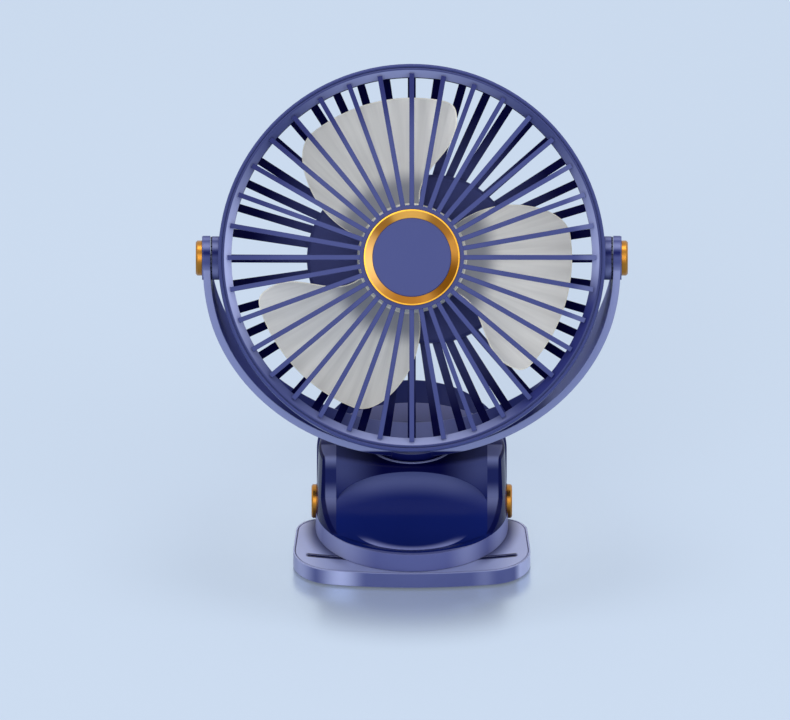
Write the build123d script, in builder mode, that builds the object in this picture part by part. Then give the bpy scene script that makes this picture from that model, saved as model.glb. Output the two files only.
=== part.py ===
"""Portable clip-on camping fan.

A caged three-blade head tilts in a semicircular yoke, the yoke swivels on a spring clip, and the
clip's lower jaw is the foot that the fan stands on. Millimetres; origin on the table under the
swivel axis, +X to the right seen from the front, +Y rearwards, +Z up.
"""
import math
import os

from build123d import *

# ---- driving dimensions ---------------------------------------------------------------------
running_gap = 0.05          # radial clearance of shafts and pins that turn
seat_gap = 0.3              # clearance between faces that move past each other
fit_gap = 0.1               # clearance of parts laid into a recess
seam_gap = 0.3              # open line round the foot's panel

# foot
foot_bottom = 0.8           # underside of the plate, above the table on its anti-slip pad
foot_thickness = 6.6
foot_half_width = 50.0
foot_taper = 3.0            # the plate is this much narrower behind
foot_shoulder_y = 8.0
panel_thickness = 1.2
panel_margin = 0.7
lever_half_width = 39.2
lever_angle = 55.0
lever_thickness = 3.2
lever_reach = 20.7          # the lever's tip stands this far behind the body's deck
lever_drop = 0.9            # and this far below its top
lever_end_length = 28.5
foot_top = foot_bottom + foot_thickness

# clip body
jaw_gap = 0.2               # between the closed jaws
lip_r = 39.8                # upper jaw's round lip
lip_height = 7.7
deck_top = 46.0             # top of the clip body, under the yoke
deck_inset = 1.4            # the body narrows by this much towards the deck
deck_thickness = 4.0
shell_wall = 3.4
scoop_depth = 1.7           # the scoop's floor lies this far below the lip's rim
scoop_inset = 8.0
bevel_inset = 3.1
neck_r = 15.0
neck_gap = 0.8
collar_wall = 1.5
collar_height = 0.6
recess_depth = 1.4
post_r = 5.2
lip_bottom = foot_top + jaw_gap
lip_top = lip_bottom + lip_height
deck_r = lip_r - deck_inset
foot_front = lip_r + 1.3
collar_r = neck_r + neck_gap + collar_wall

# clip hinge, along X
hinge_y = 4.9
hinge_rise = 9.7            # above the plate
pin_r = 2.5
hinge_cap_r = 7.0
hinge_cap_thickness = 2.1
ear_thickness = 4.0
ear_wall = 4.9              # round the hinge pin
hinge_z = foot_top + hinge_rise
ear_r = pin_r + ear_wall

# cage
cage_r = 80.0               # outside of the cage
cage_half_depth = 15.0
cage_wall = 2.8
cage_rim_wall = 1.45        # thin front rim that the front grille sits in
ring_width = 5.5            # both grilles' rings, inwards from the outside
front_ribs = 36
front_rib_width = 2.0
front_rib_depth = 2.2
rib_lap = 1.6               # the front bars end this far out on the ring's bevel
rear_ribs = 44
rear_rib_width = 3.3
rear_rib_depth = 2.2
crown_height = 6.0          # the front hub stands this far ahead of the ring
trim_outer_r = 19.8
trim_width = 3.5
hub_rim = 1.8               # plain rim of the front hub round the trim ring
grille_inner_r = cage_r - ring_width
rib_tip_r = grille_inner_r + rib_lap
trim_inner_r = trim_outer_r - trim_width
front_hub_r = trim_outer_r + hub_rim
front_hub_height = cage_half_depth + crown_height

# battery, motor and their housing; depths are measured forwards along the fan axis
battery_r = 9.2
battery_length = 65.0
motor_r = 12.0
motor_length = 20.0
shaft_r = 1.0
housing_half_y = 34.7
housing_wall = 2.2
housing_setback = 2.0       # the housing's front lies this far behind the cage's
cell_end_room = 10.8        # beyond each end of the battery, with its spring contacts
cell_front_room = 3.4       # between the battery and the housing's front wall
cover_thickness = 3.0
housing_half_x = battery_length / 2 + cell_end_room
housing_front = -cage_half_depth - housing_setback
housing_back = housing_front - housing_wall - cell_front_room - 2 * battery_r
motor_front = housing_front + motor_length

# impeller
blade_count = 3
blade_mid_angle = 112.0     # direction of the first blade's middle
blade_thickness = 1.8
tip_clearance = 8.3         # between the blades' tips and the grilles' rings
blade_clearance = 1.7       # between the blades and the cage's ends
impeller_hub_r = 22.6
impeller_wall = 2.0
hub_front_gap = 3.8         # between the impeller's hub and the front grille's bars
hub_rear_gap = 8.0          # between the impeller's hub and the housing
blade_tip_r = grille_inner_r - tip_clearance
blade_half_depth = cage_half_depth - blade_clearance
impeller_hub_front = front_hub_height - front_rib_depth - hub_front_gap
impeller_hub_back = housing_front + hub_rear_gap

# tilt pivots and yoke
head_tilt = 28.5            # the head looks up by this many degrees at rest
boss_r = 9.0                # tilt boss on each side of the cage
boss_length = 2.4
detent_thickness = 0.7
pivot_screw_r = 1.5
pivot_head_r = 3.0
insert_r = 2.6
cap_r = 7.25
cap_thickness = 2.6
yoke_thickness = 3.0
yoke_half_width = 12.5
yoke_lobe_rim = 0.2         # the lobe's edge round the pivot boss
yoke_boss_height = 0.4      # stands proud of the band around each pivot
yoke_lift = 0.2             # between the yoke's band and the deck's collar
boss_face = cage_r + boss_length
yoke_inner_r = boss_face + detent_thickness + fit_gap
yoke_lobe_r = boss_r + yoke_lobe_rim
pivot_height = deck_top + collar_height + yoke_lift + yoke_thickness + yoke_inner_r

os.makedirs("parts", exist_ok=True)


def finish(builder, name):
    """Label a finished piece and write it."""
    builder.part.label = name
    export_step(builder.part, f"parts/{name}.step")


def polar(radius, angle):
    """Point at a radius and an angle in degrees."""
    return (radius * math.cos(math.radians(angle)), radius * math.sin(math.radians(angle)))


# The head's own planes: x right, y up across the face, z forwards along the fan axis.
tilt = math.radians(head_tilt)
head_centre = Vector(0, 0, pivot_height)
forwards = Vector(0, -math.cos(tilt), math.sin(tilt))
head_plane = Plane(origin=head_centre, x_dir=(1, 0, 0), z_dir=forwards)
head_section = Plane(origin=head_centre, x_dir=(1, 0, 0), z_dir=head_plane.y_dir * -1)
fan_axis = Axis(head_centre, forwards)


def side_plane(distance, side):
    """Plane across the tilt axis at a distance from the middle, facing outwards."""
    return Plane(origin=(side * distance, 0, pivot_height), x_dir=(0, 1, 0), z_dir=(side, 0, 0))


# ---- front grille: ring, radial bars and hub in one moulding ----------------------------------
ring_r = cage_r - cage_rim_wall - fit_gap
ring_back = 6.0
bevel_drop = 2.4
hub_pocket = front_hub_height - 1.1
# the bars run flat out of the hub and bend down to the ring in one arc
crown_start = (front_hub_r - 2, front_hub_height - 0.1)
crown_end = (rib_tip_r, cage_half_depth - 0.4)

with BuildPart() as front_bar:
    with BuildSketch(Plane.XZ):
        with BuildLine():
            TangentArc(crown_start, crown_end, tangent=(1, 0))
            TangentArc((crown_start[0], crown_start[1] - front_rib_depth),
                       (crown_end[0], crown_end[1] - front_rib_depth), tangent=(1, 0))
            Line(crown_start, (crown_start[0], crown_start[1] - front_rib_depth))
            Line(crown_end, (crown_end[0], crown_end[1] - front_rib_depth))
        make_face()
    extrude(amount=front_rib_width / 2, both=True)

with BuildPart(head_plane) as front_grille:
    with PolarLocations(0, front_ribs):
        add(front_bar.part)
    with BuildSketch(head_plane.offset(front_hub_height - front_rib_depth)):
        Circle(front_hub_r)
    extrude(amount=front_rib_depth)
    with BuildSketch(head_section):
        Polygon((grille_inner_r, ring_back), (ring_r, ring_back),
                (ring_r, cage_half_depth - 0.4), (ring_r - 0.6, cage_half_depth),
                (grille_inner_r, cage_half_depth - bevel_drop), align=None)
    revolve(axis=fan_axis)
    with BuildSketch(head_plane.offset(hub_pocket)):
        Circle(trim_outer_r + running_gap)
    extrude(amount=5, mode=Mode.SUBTRACT)
finish(front_grille, "front_grille")

# ---- gold trim ring and centre disc, laid into the hub ----------------------------------------
with BuildPart() as hub_trim_ring:
    with BuildSketch(head_section):
        Polygon((trim_inner_r, hub_pocket), (trim_outer_r, hub_pocket),
                (trim_outer_r, front_hub_height + 0.9), (trim_outer_r - 0.5, front_hub_height + 1.0),
                (trim_inner_r, front_hub_height - 0.2), align=None)
    revolve(axis=fan_axis)
finish(hub_trim_ring, "hub_trim_ring")

with BuildPart() as hub_disc:
    with BuildSketch(head_plane.offset(hub_pocket)):
        Circle(trim_inner_r - running_gap)
    extrude(amount=front_hub_height - hub_pocket)
    chamfer(hub_disc.faces().sort_by(fan_axis)[-1].edges(), 0.3)
finish(hub_disc, "hub_disc")

# ---- rear grille: shroud, radial bars, tilt bosses and the oval housing ------------------------
rebate = ring_back - fit_gap
inner_r = cage_r - cage_wall
insert_floor = inner_r + 0.8    # bottom of the tilt bosses' pockets
lip_depth = 2.5
# the rear bars leave the housing flat and rise to the ring's inner edge in one arc
dome_start = (housing_half_y - 4.7, -cage_half_depth - 6.8)
dome_end = (grille_inner_r + 0.5, -cage_half_depth + lip_depth - 0.1)
mount_r = motor_r + fit_gap
collar_depth = 6.0
motor_screw_spots = ((motor_r - 5, 0), (5 - motor_r, 0))
# four screw pillars against the housing's rounded ends
pillar_r = 3.0
pillar_out = housing_half_y - housing_wall - pillar_r + 0.2
pillar_x = housing_half_x - housing_half_y + pillar_out * math.cos(math.radians(41))
pillar_y = pillar_out * math.sin(math.radians(41))
screw_spots = ((pillar_x, pillar_y), (-pillar_x, pillar_y), (pillar_x, -pillar_y),
               (-pillar_x, -pillar_y))
board_back = housing_back + 3.0
board_thickness = 1.6
board_low = housing_half_y - housing_wall - 2.5
board_height = board_low - battery_r - 2.8
board_y = board_height / 2 - board_low
port_half_width = 4.5
port_half_height = 1.65
port_depth_w = board_back + board_thickness + port_half_height + 0.75

with BuildPart() as rear_bar:
    with BuildSketch(Plane.XZ):
        with BuildLine():
            TangentArc(dome_start, dome_end, tangent=(1, 0))
            TangentArc((dome_start[0], dome_start[1] - rear_rib_depth),
                       (dome_end[0], dome_end[1] - rear_rib_depth), tangent=(1, 0))
            Line(dome_start, (dome_start[0], dome_start[1] - rear_rib_depth))
            Line(dome_end, (dome_end[0], dome_end[1] - rear_rib_depth))
        make_face()
    extrude(amount=rear_rib_width / 2, both=True)

with BuildPart(head_plane) as rear_grille:
    with PolarLocations(0, rear_ribs):
        add(rear_bar.part)
    # shroud wall with a rebate for the front ring and an inward lip behind
    with BuildSketch(head_section):
        Polygon((cage_r - cage_rim_wall, cage_half_depth - 0.6),
                (cage_r - 0.8, cage_half_depth), (cage_r, cage_half_depth - 0.8),
                (cage_r, 2 - cage_half_depth), (cage_r - 2, -cage_half_depth),
                (grille_inner_r, -cage_half_depth), (grille_inner_r, lip_depth - cage_half_depth),
                (inner_r, lip_depth - cage_half_depth), (inner_r, rebate),
                (cage_r - cage_rim_wall, rebate), align=None)
    revolve(axis=fan_axis)
    # housing: front wall, side wall and four screw pillars
    with BuildSketch(head_plane.offset(housing_back)):
        SlotOverall(2 * housing_half_x, 2 * housing_half_y)
    extrude(amount=housing_front - housing_back)
    chamfer(rear_grille.edges(Select.LAST).group_by(fan_axis)[-1], 1.2)
    with BuildSketch(head_plane.offset(housing_back)):
        SlotOverall(2 * (housing_half_x - housing_wall), 2 * (housing_half_y - housing_wall))
        with Locations(*screw_spots):
            Circle(pillar_r, mode=Mode.SUBTRACT)
    extrude(amount=housing_front - housing_wall - housing_back, mode=Mode.SUBTRACT)
    with BuildSketch(head_plane.offset(housing_back)):
        with Locations(*screw_spots):
            Circle(1.1)
    extrude(amount=10, mode=Mode.SUBTRACT)
    # collar that holds the motor
    with BuildSketch(head_plane.offset(housing_front)):
        Circle(mount_r + 1.5)
        Circle(mount_r, mode=Mode.SUBTRACT)
    extrude(amount=collar_depth)
    with BuildSketch(head_plane.offset(housing_front)):
        with Locations(*motor_screw_spots):
            Circle(1.1)
        Circle(3.0)
    extrude(amount=-housing_wall, mode=Mode.SUBTRACT)
    # slot for the charging port in the housing's lower wall
    with BuildSketch(Plane(origin=head_centre + head_plane.z_dir * port_depth_w,
                           x_dir=(1, 0, 0), z_dir=head_plane.y_dir * -1)):
        SlotOverall(2 * port_half_width + 0.4, 2 * port_half_height + 0.4)
    extrude(amount=housing_half_y + 1, mode=Mode.SUBTRACT)
    # tilt bosses with a pocket for the threaded insert
    for side in (1, -1):
        with BuildSketch(side_plane(cage_r - cage_rim_wall, side)):
            Circle(boss_r)
        extrude(amount=boss_face - cage_r + cage_rim_wall)
        with BuildSketch(side_plane(boss_face, side)):
            Circle(insert_r)
        extrude(amount=insert_floor - boss_face, mode=Mode.SUBTRACT)
finish(rear_grille, "rear_grille")

# ---- what the housing holds: cover, motor, battery, board, port, lights, button -----------------
cover_face = housing_back - cover_thickness
button_spot = (0.0, board_y)
button_r = 6.0
button_travel = 0.8
button_proud = 1.4
light_spots = [(step * 5.0, battery_r + 6.8) for step in (-1.5, -0.5, 0.5, 1.5)]
light_r = 1.2
screw_head_r = 2.4
screw_head_height = 1.6

with BuildPart() as rear_cover:
    with BuildSketch(head_plane.offset(housing_back)):
        SlotOverall(2 * housing_half_x, 2 * housing_half_y)
    extrude(amount=-cover_thickness)
    chamfer(rear_cover.edges().group_by(fan_axis)[0], 1.4)
    # locating rim inside the housing wall
    rim = housing_wall + fit_gap
    with BuildSketch(head_plane.offset(housing_back)):
        SlotOverall(2 * (housing_half_x - rim), 2 * (housing_half_y - rim))
        SlotOverall(2 * (housing_half_x - rim - 1.2), 2 * (housing_half_y - rim - 1.2),
                    mode=Mode.SUBTRACT)
        with Locations(*screw_spots):
            Circle(pillar_r + fit_gap, mode=Mode.SUBTRACT)
    extrude(amount=1.2)
    with BuildSketch(head_plane.offset(cover_face)):
        with Locations(*screw_spots):
            Circle(1.4)
        with Locations(button_spot):
            Circle(button_r + seat_gap)
        with Locations(*light_spots):
            Circle(light_r + running_gap)
    extrude(amount=cover_thickness + 1.2, mode=Mode.SUBTRACT)
    with BuildSketch(head_plane.offset(cover_face)):
        with Locations(*screw_spots):
            Circle(screw_head_r + fit_gap)
    extrude(amount=screw_head_height, mode=Mode.SUBTRACT)
finish(rear_cover, "rear_cover")

with BuildPart() as rear_cover_screws:
    with BuildSketch(head_plane.offset(cover_face)):
        with Locations(*screw_spots):
            Circle(screw_head_r)
    extrude(amount=screw_head_height)
    with BuildSketch(head_plane.offset(cover_face + screw_head_height)):
        with Locations(*screw_spots):
            Circle(1.05)
    extrude(amount=8)
finish(rear_cover_screws, "rear_cover_screws")

with BuildPart() as motor_can:
    with BuildSketch(head_plane.offset(housing_front)):
        Circle(motor_r)
    extrude(amount=motor_front - housing_front)
    chamfer(motor_can.edges().group_by(fan_axis)[-1], 0.8)
    with BuildSketch(head_plane.offset(motor_front)):
        Circle(2.6)
    extrude(amount=0.6)
    with BuildSketch(head_plane.offset(motor_front + 0.6)):
        Circle(shaft_r + running_gap)
    extrude(amount=-10, mode=Mode.SUBTRACT)
    with BuildSketch(head_plane.offset(housing_front)):
        with Locations(*motor_screw_spots):
            Circle(1.05)
    extrude(amount=3, mode=Mode.SUBTRACT)
finish(motor_can, "motor_can")

with BuildPart() as motor_screws:
    with BuildSketch(head_plane.offset(housing_front - housing_wall)):
        with Locations(*motor_screw_spots):
            Circle(2.0)
    extrude(amount=-1.4)
    with BuildSketch(head_plane.offset(housing_front - housing_wall)):
        with Locations(*motor_screw_spots):
            Circle(1.0)
    extrude(amount=housing_wall + 2.8)
finish(motor_screws, "motor_screws")

with BuildPart() as battery_cell:
    cell_centre = head_centre + forwards * (housing_back + fit_gap + battery_r)
    with BuildSketch(Plane(origin=cell_centre - Vector(battery_length / 2, 0, 0),
                           x_dir=(0, 1, 0), z_dir=(1, 0, 0))):
        Circle(battery_r)
    extrude(amount=battery_length)
    chamfer(battery_cell.edges().filter_by(GeomType.CIRCLE), 0.6)
    with BuildSketch(Plane(origin=cell_centre + Vector(battery_length / 2, 0, 0),
                           x_dir=(0, 1, 0), z_dir=(1, 0, 0))):
        Circle(3.0)
    extrude(amount=0.8)
finish(battery_cell, "battery_cell")

with BuildPart() as control_board:
    with BuildSketch(head_plane.offset(board_back)):
        with Locations((0, board_y)):
            Rectangle(42.0, board_height)
    extrude(amount=board_thickness)
    # small parts on the board: driver chip, coil and the switch under the button
    with BuildSketch(head_plane.offset(board_back + board_thickness)):
        with Locations((-12, board_y)):
            Rectangle(7, 7)
        with Locations((14, board_y)):
            Rectangle(8, 8)
    extrude(amount=2.6)
    with BuildSketch(head_plane.offset(board_back)):
        with Locations(button_spot):
            Rectangle(5, 5)
    extrude(amount=-0.9)
finish(control_board, "control_board")

with BuildPart() as charging_port:
    port_plane = Plane(origin=head_centre + head_plane.z_dir * port_depth_w
                       - head_plane.y_dir * (housing_half_y - 0.5),
                       x_dir=(1, 0, 0), z_dir=head_plane.y_dir)
    with BuildSketch(port_plane):
        SlotOverall(2 * port_half_width, 2 * port_half_height)
        SlotOverall(2 * port_half_width - 0.6, 2 * port_half_height - 0.6, mode=Mode.SUBTRACT)
    extrude(amount=7.0)
    with BuildSketch(port_plane.offset(6.4)):
        SlotOverall(2 * port_half_width, 2 * port_half_height)
    extrude(amount=0.6)
    with BuildSketch(port_plane.offset(1.2)):
        Rectangle(6.4, 0.7)
    extrude(amount=5.4)
finish(charging_port, "charging_port")

with BuildPart() as indicator_lenses:
    with BuildSketch(head_plane.offset(cover_face + 0.1)):
        with Locations(*light_spots):
            Circle(light_r)
    extrude(amount=cover_thickness - 0.2)
finish(indicator_lenses, "indicator_lenses")

with BuildPart() as power_button:
    with BuildSketch(head_plane.offset(cover_face - button_proud)):
        with Locations(button_spot):
            Circle(button_r)
    extrude(amount=cover_thickness + button_proud - button_travel)
    chamfer(power_button.edges().group_by(fan_axis)[0], 0.7)
    with BuildSketch(head_plane.offset(housing_back - button_travel)):
        with Locations(button_spot):
            Circle(1.4)
    extrude(amount=board_back - 0.9 - housing_back)
finish(power_button, "power_button")

with BuildPart() as boss_inserts:
    for side in (1, -1):
        with BuildSketch(side_plane(insert_floor + fit_gap, side)):
            Circle(insert_r - running_gap)
            Circle(pivot_screw_r + running_gap, mode=Mode.SUBTRACT)
        extrude(amount=boss_face - insert_floor - fit_gap)
finish(boss_inserts, "boss_inserts")

detent_teeth = 30
with BuildPart() as detent_rings:
    for side in (1, -1):
        with BuildSketch(side_plane(boss_face, side)):
            Circle(boss_r - 0.2)
            Circle(pivot_head_r + 0.2, mode=Mode.SUBTRACT)
            with PolarLocations(boss_r - 0.4, detent_teeth):
                Rectangle(1.2, 0.7, mode=Mode.SUBTRACT)
        extrude(amount=detent_thickness)
finish(detent_rings, "detent_rings")

# ---- impeller: hub cup with three twisted blades, on the motor's shaft --------------------------
# Each station of a blade: share of the way from the hub to the tip, half chord, share of the half
# depth that it rises by, and camber.
blade_stations = ((-0.11, 24.0, 1.0, 2.6), (0.28, 38.0, 0.98, 3.2), (0.67, 46.0, 0.9, 3.0),
                  (1.06, 48.0, 0.77, 2.4))
blade_setback = -1.5        # the blades' middle sits a little behind the cage's
blade_root_r = impeller_hub_r - 2.6
# outline of a blade seen from the front: angle and share of the way from the root to the tip
trailing_edge = ((78.0, 0), (77.5, 0.39), (71.6, 0.617), (71.8, 0.866))
leading_edge = ((131.5, 0.987), (143.75, 0.727), (155.2, 0.303), (157.5, 0))


def blade_point(angle, share):
    """Point on the blade's outline at a share of the way from its root to its tip."""
    return polar(blade_root_r + share * (blade_tip_r - blade_root_r), angle)


with BuildPart() as blade:
    out = polar(1, blade_mid_angle)
    half = blade_thickness / 2
    for share, half_chord, lift, camber in blade_stations:
        distance = blade_root_r + share * (blade_tip_r - blade_root_r)
        rise = blade_half_depth * lift
        with BuildSketch(Plane(origin=(out[0] * distance, out[1] * distance, blade_setback),
                               x_dir=(-out[1], out[0], 0), z_dir=(out[0], out[1], 0))):
            with BuildLine():
                ThreePointArc((-half_chord, rise + half), (0, half - camber),
                              (half_chord, half - rise))
                Line((half_chord, half - rise), (half_chord, -rise - half))
                ThreePointArc((half_chord, -rise - half), (0, -half - camber),
                              (-half_chord, rise - half))
                Line((-half_chord, rise - half), (-half_chord, rise + half))
            make_face()
    loft()
    with BuildSketch(Plane.XY.offset(-40)):
        with BuildLine():
            rear_side = Spline(*[blade_point(*step) for step in trailing_edge])
            tip_start = polar(blade_tip_r, 79.5)
            corner = Spline(rear_side @ 1, blade_point(74.6, 0.974), tip_start,
                            tangents=(rear_side % 1, Vector(*polar(1, 79.5 + 90))))
            tip_end = polar(blade_tip_r, 129.0)
            ThreePointArc(tip_start, polar(blade_tip_r, 104), tip_end)
            front_side = Spline(tip_end, *[blade_point(*step) for step in leading_edge])
            Line(front_side @ 1, rear_side @ 0)
        make_face()
    extrude(amount=80, mode=Mode.INTERSECT)

with BuildPart(head_plane) as impeller:
    with PolarLocations(0, blade_count):
        add(blade.part)
    with BuildSketch(head_plane.offset(impeller_hub_back)):
        Circle(impeller_hub_r - impeller_wall + 0.5)
    extrude(amount=40, mode=Mode.SUBTRACT)
    hub_bore = impeller_hub_r - impeller_wall
    roof = impeller_hub_front - impeller_wall
    shaft_top = impeller_hub_front - 2.8
    with BuildSketch(head_section):
        Polygon((0, impeller_hub_front), (impeller_hub_r - 4, impeller_hub_front),
                (impeller_hub_r - 1.6, impeller_hub_front - 1), (impeller_hub_r - 0.8, roof - 1.5),
                (impeller_hub_r, impeller_hub_back), (hub_bore, impeller_hub_back),
                (hub_bore - 0.8, roof - 0.5), (hub_bore - 2, roof), (3.2, roof),
                (3.2, motor_front + 1.2), (0, motor_front + 1.2), align=None)
    revolve(axis=fan_axis)
    with BuildSketch(head_plane.offset(motor_front + 1.2)):
        Circle(shaft_r)
    extrude(amount=shaft_top - motor_front - 1.2, mode=Mode.SUBTRACT)
finish(impeller, "impeller")

with BuildPart() as motor_shaft:
    with BuildSketch(head_plane.offset(motor_front - 8)):
        Circle(shaft_r)
    extrude(amount=shaft_top - motor_front + 8)
finish(motor_shaft, "motor_shaft")

# ---- yoke ---------------------------------------------------------------------------------------
yoke_r = yoke_inner_r + yoke_thickness
pivot_face = yoke_r + yoke_boss_height
lobe_top = pivot_height + yoke_lobe_r
taper_start = 26.0          # the band narrows to its lobe over this height below the pivot
neck_bottom = deck_top + collar_height - recess_depth + 0.2
deck_bottom = deck_top - deck_thickness
tube_bottom = deck_bottom - 5.0    # tube under the deck that the swivel bush sits in
post_bottom = tube_bottom - 0.6
washer_r = post_r + 1.2
screw_head_recess = 1.8

with BuildPart() as yoke_arm:
    with BuildSketch(Plane.XZ):
        with BuildLine():
            Line((-yoke_r, lobe_top), (-yoke_r, pivot_height))
            ThreePointArc((-yoke_r, pivot_height), (0, pivot_height - yoke_r), (yoke_r, pivot_height))
            Polyline((yoke_r, pivot_height), (yoke_r, lobe_top), (yoke_inner_r, lobe_top),
                     (yoke_inner_r, pivot_height))
            ThreePointArc((yoke_inner_r, pivot_height), (0, pivot_height - yoke_inner_r),
                          (-yoke_inner_r, pivot_height))
            Polyline((-yoke_inner_r, pivot_height), (-yoke_inner_r, lobe_top), (-yoke_r, lobe_top))
        make_face()
    extrude(amount=yoke_half_width, both=True)
    with BuildSketch(Plane.YZ):
        with Locations((0, pivot_height)):
            Circle(yoke_lobe_r)
        Polygon((yoke_lobe_r, pivot_height), (yoke_half_width, pivot_height - taper_start),
                (yoke_half_width, 0), (-yoke_half_width, 0),
                (-yoke_half_width, pivot_height - taper_start), (-yoke_lobe_r, pivot_height),
                align=None)
    extrude(amount=2 * yoke_r, both=True, mode=Mode.INTERSECT)
    # neck and swivel post
    with BuildSketch(Plane.XY.offset(neck_bottom)):
        Circle(neck_r)
    extrude(amount=pivot_height - yoke_inner_r - 0.4 - neck_bottom)
    with BuildSketch(Plane.XY.offset(post_bottom)):
        Circle(post_r)
    extrude(amount=neck_bottom - post_bottom)
    with BuildSketch(Plane.XY.offset(post_bottom)):
        Circle(1.3)
    extrude(amount=8, mode=Mode.SUBTRACT)
    # pivot bosses, each with a counterbored screw hole
    for side in (1, -1):
        with BuildSketch(side_plane(yoke_inner_r + 1, side)):
            Circle(boss_r)
        extrude(amount=pivot_face - yoke_inner_r - 1)
        with BuildSketch(side_plane(yoke_inner_r, side)):
            Circle(boss_r + seat_gap)
        extrude(amount=-2, mode=Mode.SUBTRACT)
        with BuildSketch(side_plane(yoke_inner_r, side)):
            Circle(pivot_screw_r + fit_gap)
        extrude(amount=pivot_face - yoke_inner_r, mode=Mode.SUBTRACT)
        with BuildSketch(side_plane(pivot_face, side)):
            Circle(pivot_head_r + 0.2)
        extrude(amount=-screw_head_recess, mode=Mode.SUBTRACT)
finish(yoke_arm, "yoke_arm")

with BuildPart() as pivot_screws:
    for side in (1, -1):
        with BuildSketch(side_plane(insert_floor + seat_gap, side)):
            Circle(pivot_screw_r)
        extrude(amount=pivot_face - screw_head_recess - insert_floor - seat_gap)
        with BuildSketch(side_plane(pivot_face - screw_head_recess, side)):
            Circle(pivot_head_r)
        extrude(amount=screw_head_recess - 0.2)
finish(pivot_screws, "pivot_screws")

with BuildPart() as pivot_caps:
    for side in (1, -1):
        with BuildSketch(side_plane(pivot_face, side)):
            Circle(cap_r)
        extrude(amount=cap_thickness)
    chamfer(pivot_caps.faces().filter_by(Axis.X).group_by(Axis.X)[0].edges(), 0.7)
    chamfer(pivot_caps.faces().filter_by(Axis.X).group_by(Axis.X)[-1].edges(), 0.7)
finish(pivot_caps, "pivot_caps")

with BuildPart() as swivel_washer:
    with BuildSketch(Plane.XY.offset(post_bottom - 0.8)):
        Circle(washer_r)
        Circle(1.5, mode=Mode.SUBTRACT)
    extrude(amount=0.8)
finish(swivel_washer, "swivel_washer")

with BuildPart() as swivel_screw:
    with BuildSketch(Plane.XY.offset(post_bottom - 0.8 - 2.0)):
        Circle(3.0)
    extrude(amount=2.0)
    with BuildSketch(Plane.XY.offset(post_bottom - 0.8)):
        Circle(1.25)
    extrude(amount=0.8 + 7.5)
finish(swivel_screw, "swivel_screw")

# ---- clip shell: round body with a scooped front, a round lip and the swivel deck ---------------
draft = math.degrees(math.atan((lip_r - deck_r) / (deck_top - lip_bottom)))
cavity_r = deck_r - shell_wall + 0.8
scoop_r = lip_r - scoop_inset
bevel_r = lip_r - bevel_inset
scoop_floor = lip_top - scoop_depth
scoop_half_width = scoop_r - 0.5
deck_nose = collar_r + 1.2  # the deck bulges this far forward round the collar
washer_room_r = washer_r + 1.0
upper_sweep = 8.0
throat_y = -washer_room_r - 2.1          # deepest point of the scoop's back wall, and its height
throat_z = deck_top - 3.0 - upper_sweep
cavity_front = throat_y + 4.3
horn_front = throat_y - 1.5 # front faces of the side walls beside the scoop
bush_outer_r = post_r + running_gap + 1.2
under_r = hinge_z - lip_bottom   # underside rounded about the hinge, clear of the foot
under_angle = 50.0
rear_corner = (deck_r - 5.4, deck_top - 17.7)

under_start = (hinge_y + under_r * math.cos(math.radians(under_angle)),
               hinge_z - under_r * math.sin(math.radians(under_angle)))
slope = math.atan2(rear_corner[1] - under_start[1], rear_corner[0] - under_start[0])
slope_along = Vector(0, math.cos(slope), math.sin(slope))
slope_inward = Vector(0, -math.sin(slope), math.cos(slope))
cover_start = 9.0           # the cover plate starts this far up the slope
cover_plate = 2.0
cover_screw_x = cavity_r - 11.8
cover_screw_along = 13.5
tube_r = bush_outer_r + 1.55
recess_floor = deck_top + collar_height - recess_depth
cap_seat = lip_r - 0.5      # the hinge caps sit on lands this far from the middle
pad_r = lip_r - 4.8
pad_back = -8.0
pad_depth = 1.6


def slope_plane(along, inward):
    """Plane parallel to the sloped underside, facing into the shell."""
    start = Vector(0, under_start[0], under_start[1])
    return Plane(origin=start + slope_along * along + slope_inward * inward,
                 x_dir=(1, 0, 0), z_dir=slope_inward)


# the hollow that scoops out the front: a C-shaped sweep above a bevelled round floor, under an arch
lower_sweep = throat_z - scoop_floor
floor_y = throat_y - lower_sweep
nose_y = throat_y - upper_sweep
mid_turn = math.sqrt(0.5)
arch_base = scoop_floor + 6.4
# where the sweep comes down to the lip's rim
rim_y = floor_y + math.sqrt(lower_sweep ** 2 - (throat_z - lip_top) ** 2)


def hinge_plane(distance, side):
    """Plane across the clip hinge at a distance from the middle, facing outwards."""
    return Plane(origin=(side * distance, hinge_y, hinge_z), x_dir=(0, 1, 0), z_dir=(side, 0, 0))


with BuildPart() as scoop_limits:
    with BuildSketch(Plane.XY.offset(lip_top)):
        Rectangle(2 * scoop_half_width, 120)
    extrude(amount=deck_top)
    with Locations((0, 0, (scoop_floor + lip_top) / 2)):
        Cone(scoop_r, bevel_r, lip_top - scoop_floor)

with BuildPart() as scoop:
    with BuildSketch(Plane.YZ):
        with BuildLine():
            Line((-60, scoop_floor), (floor_y, scoop_floor))
            ThreePointArc((floor_y, scoop_floor),
                          (floor_y + lower_sweep * mid_turn, throat_z - lower_sweep * mid_turn),
                          (throat_y, throat_z))
            ThreePointArc((throat_y, throat_z),
                          (nose_y + upper_sweep * mid_turn, throat_z + upper_sweep * mid_turn),
                          (nose_y, throat_z + upper_sweep))
            Polyline((nose_y, throat_z + upper_sweep), (-60, throat_z + upper_sweep),
                     (-60, scoop_floor))
        make_face()
    extrude(amount=60, both=True)
    add(scoop_limits.part, mode=Mode.INTERSECT)
    with BuildSketch(Plane.XZ):
        Rectangle(2 * scoop_half_width, 2 * arch_base)
        with Locations((0, arch_base)):
            Ellipse(scoop_half_width + 0.7, throat_z + upper_sweep - arch_base)
    extrude(amount=60, both=True, mode=Mode.INTERSECT)

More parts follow.
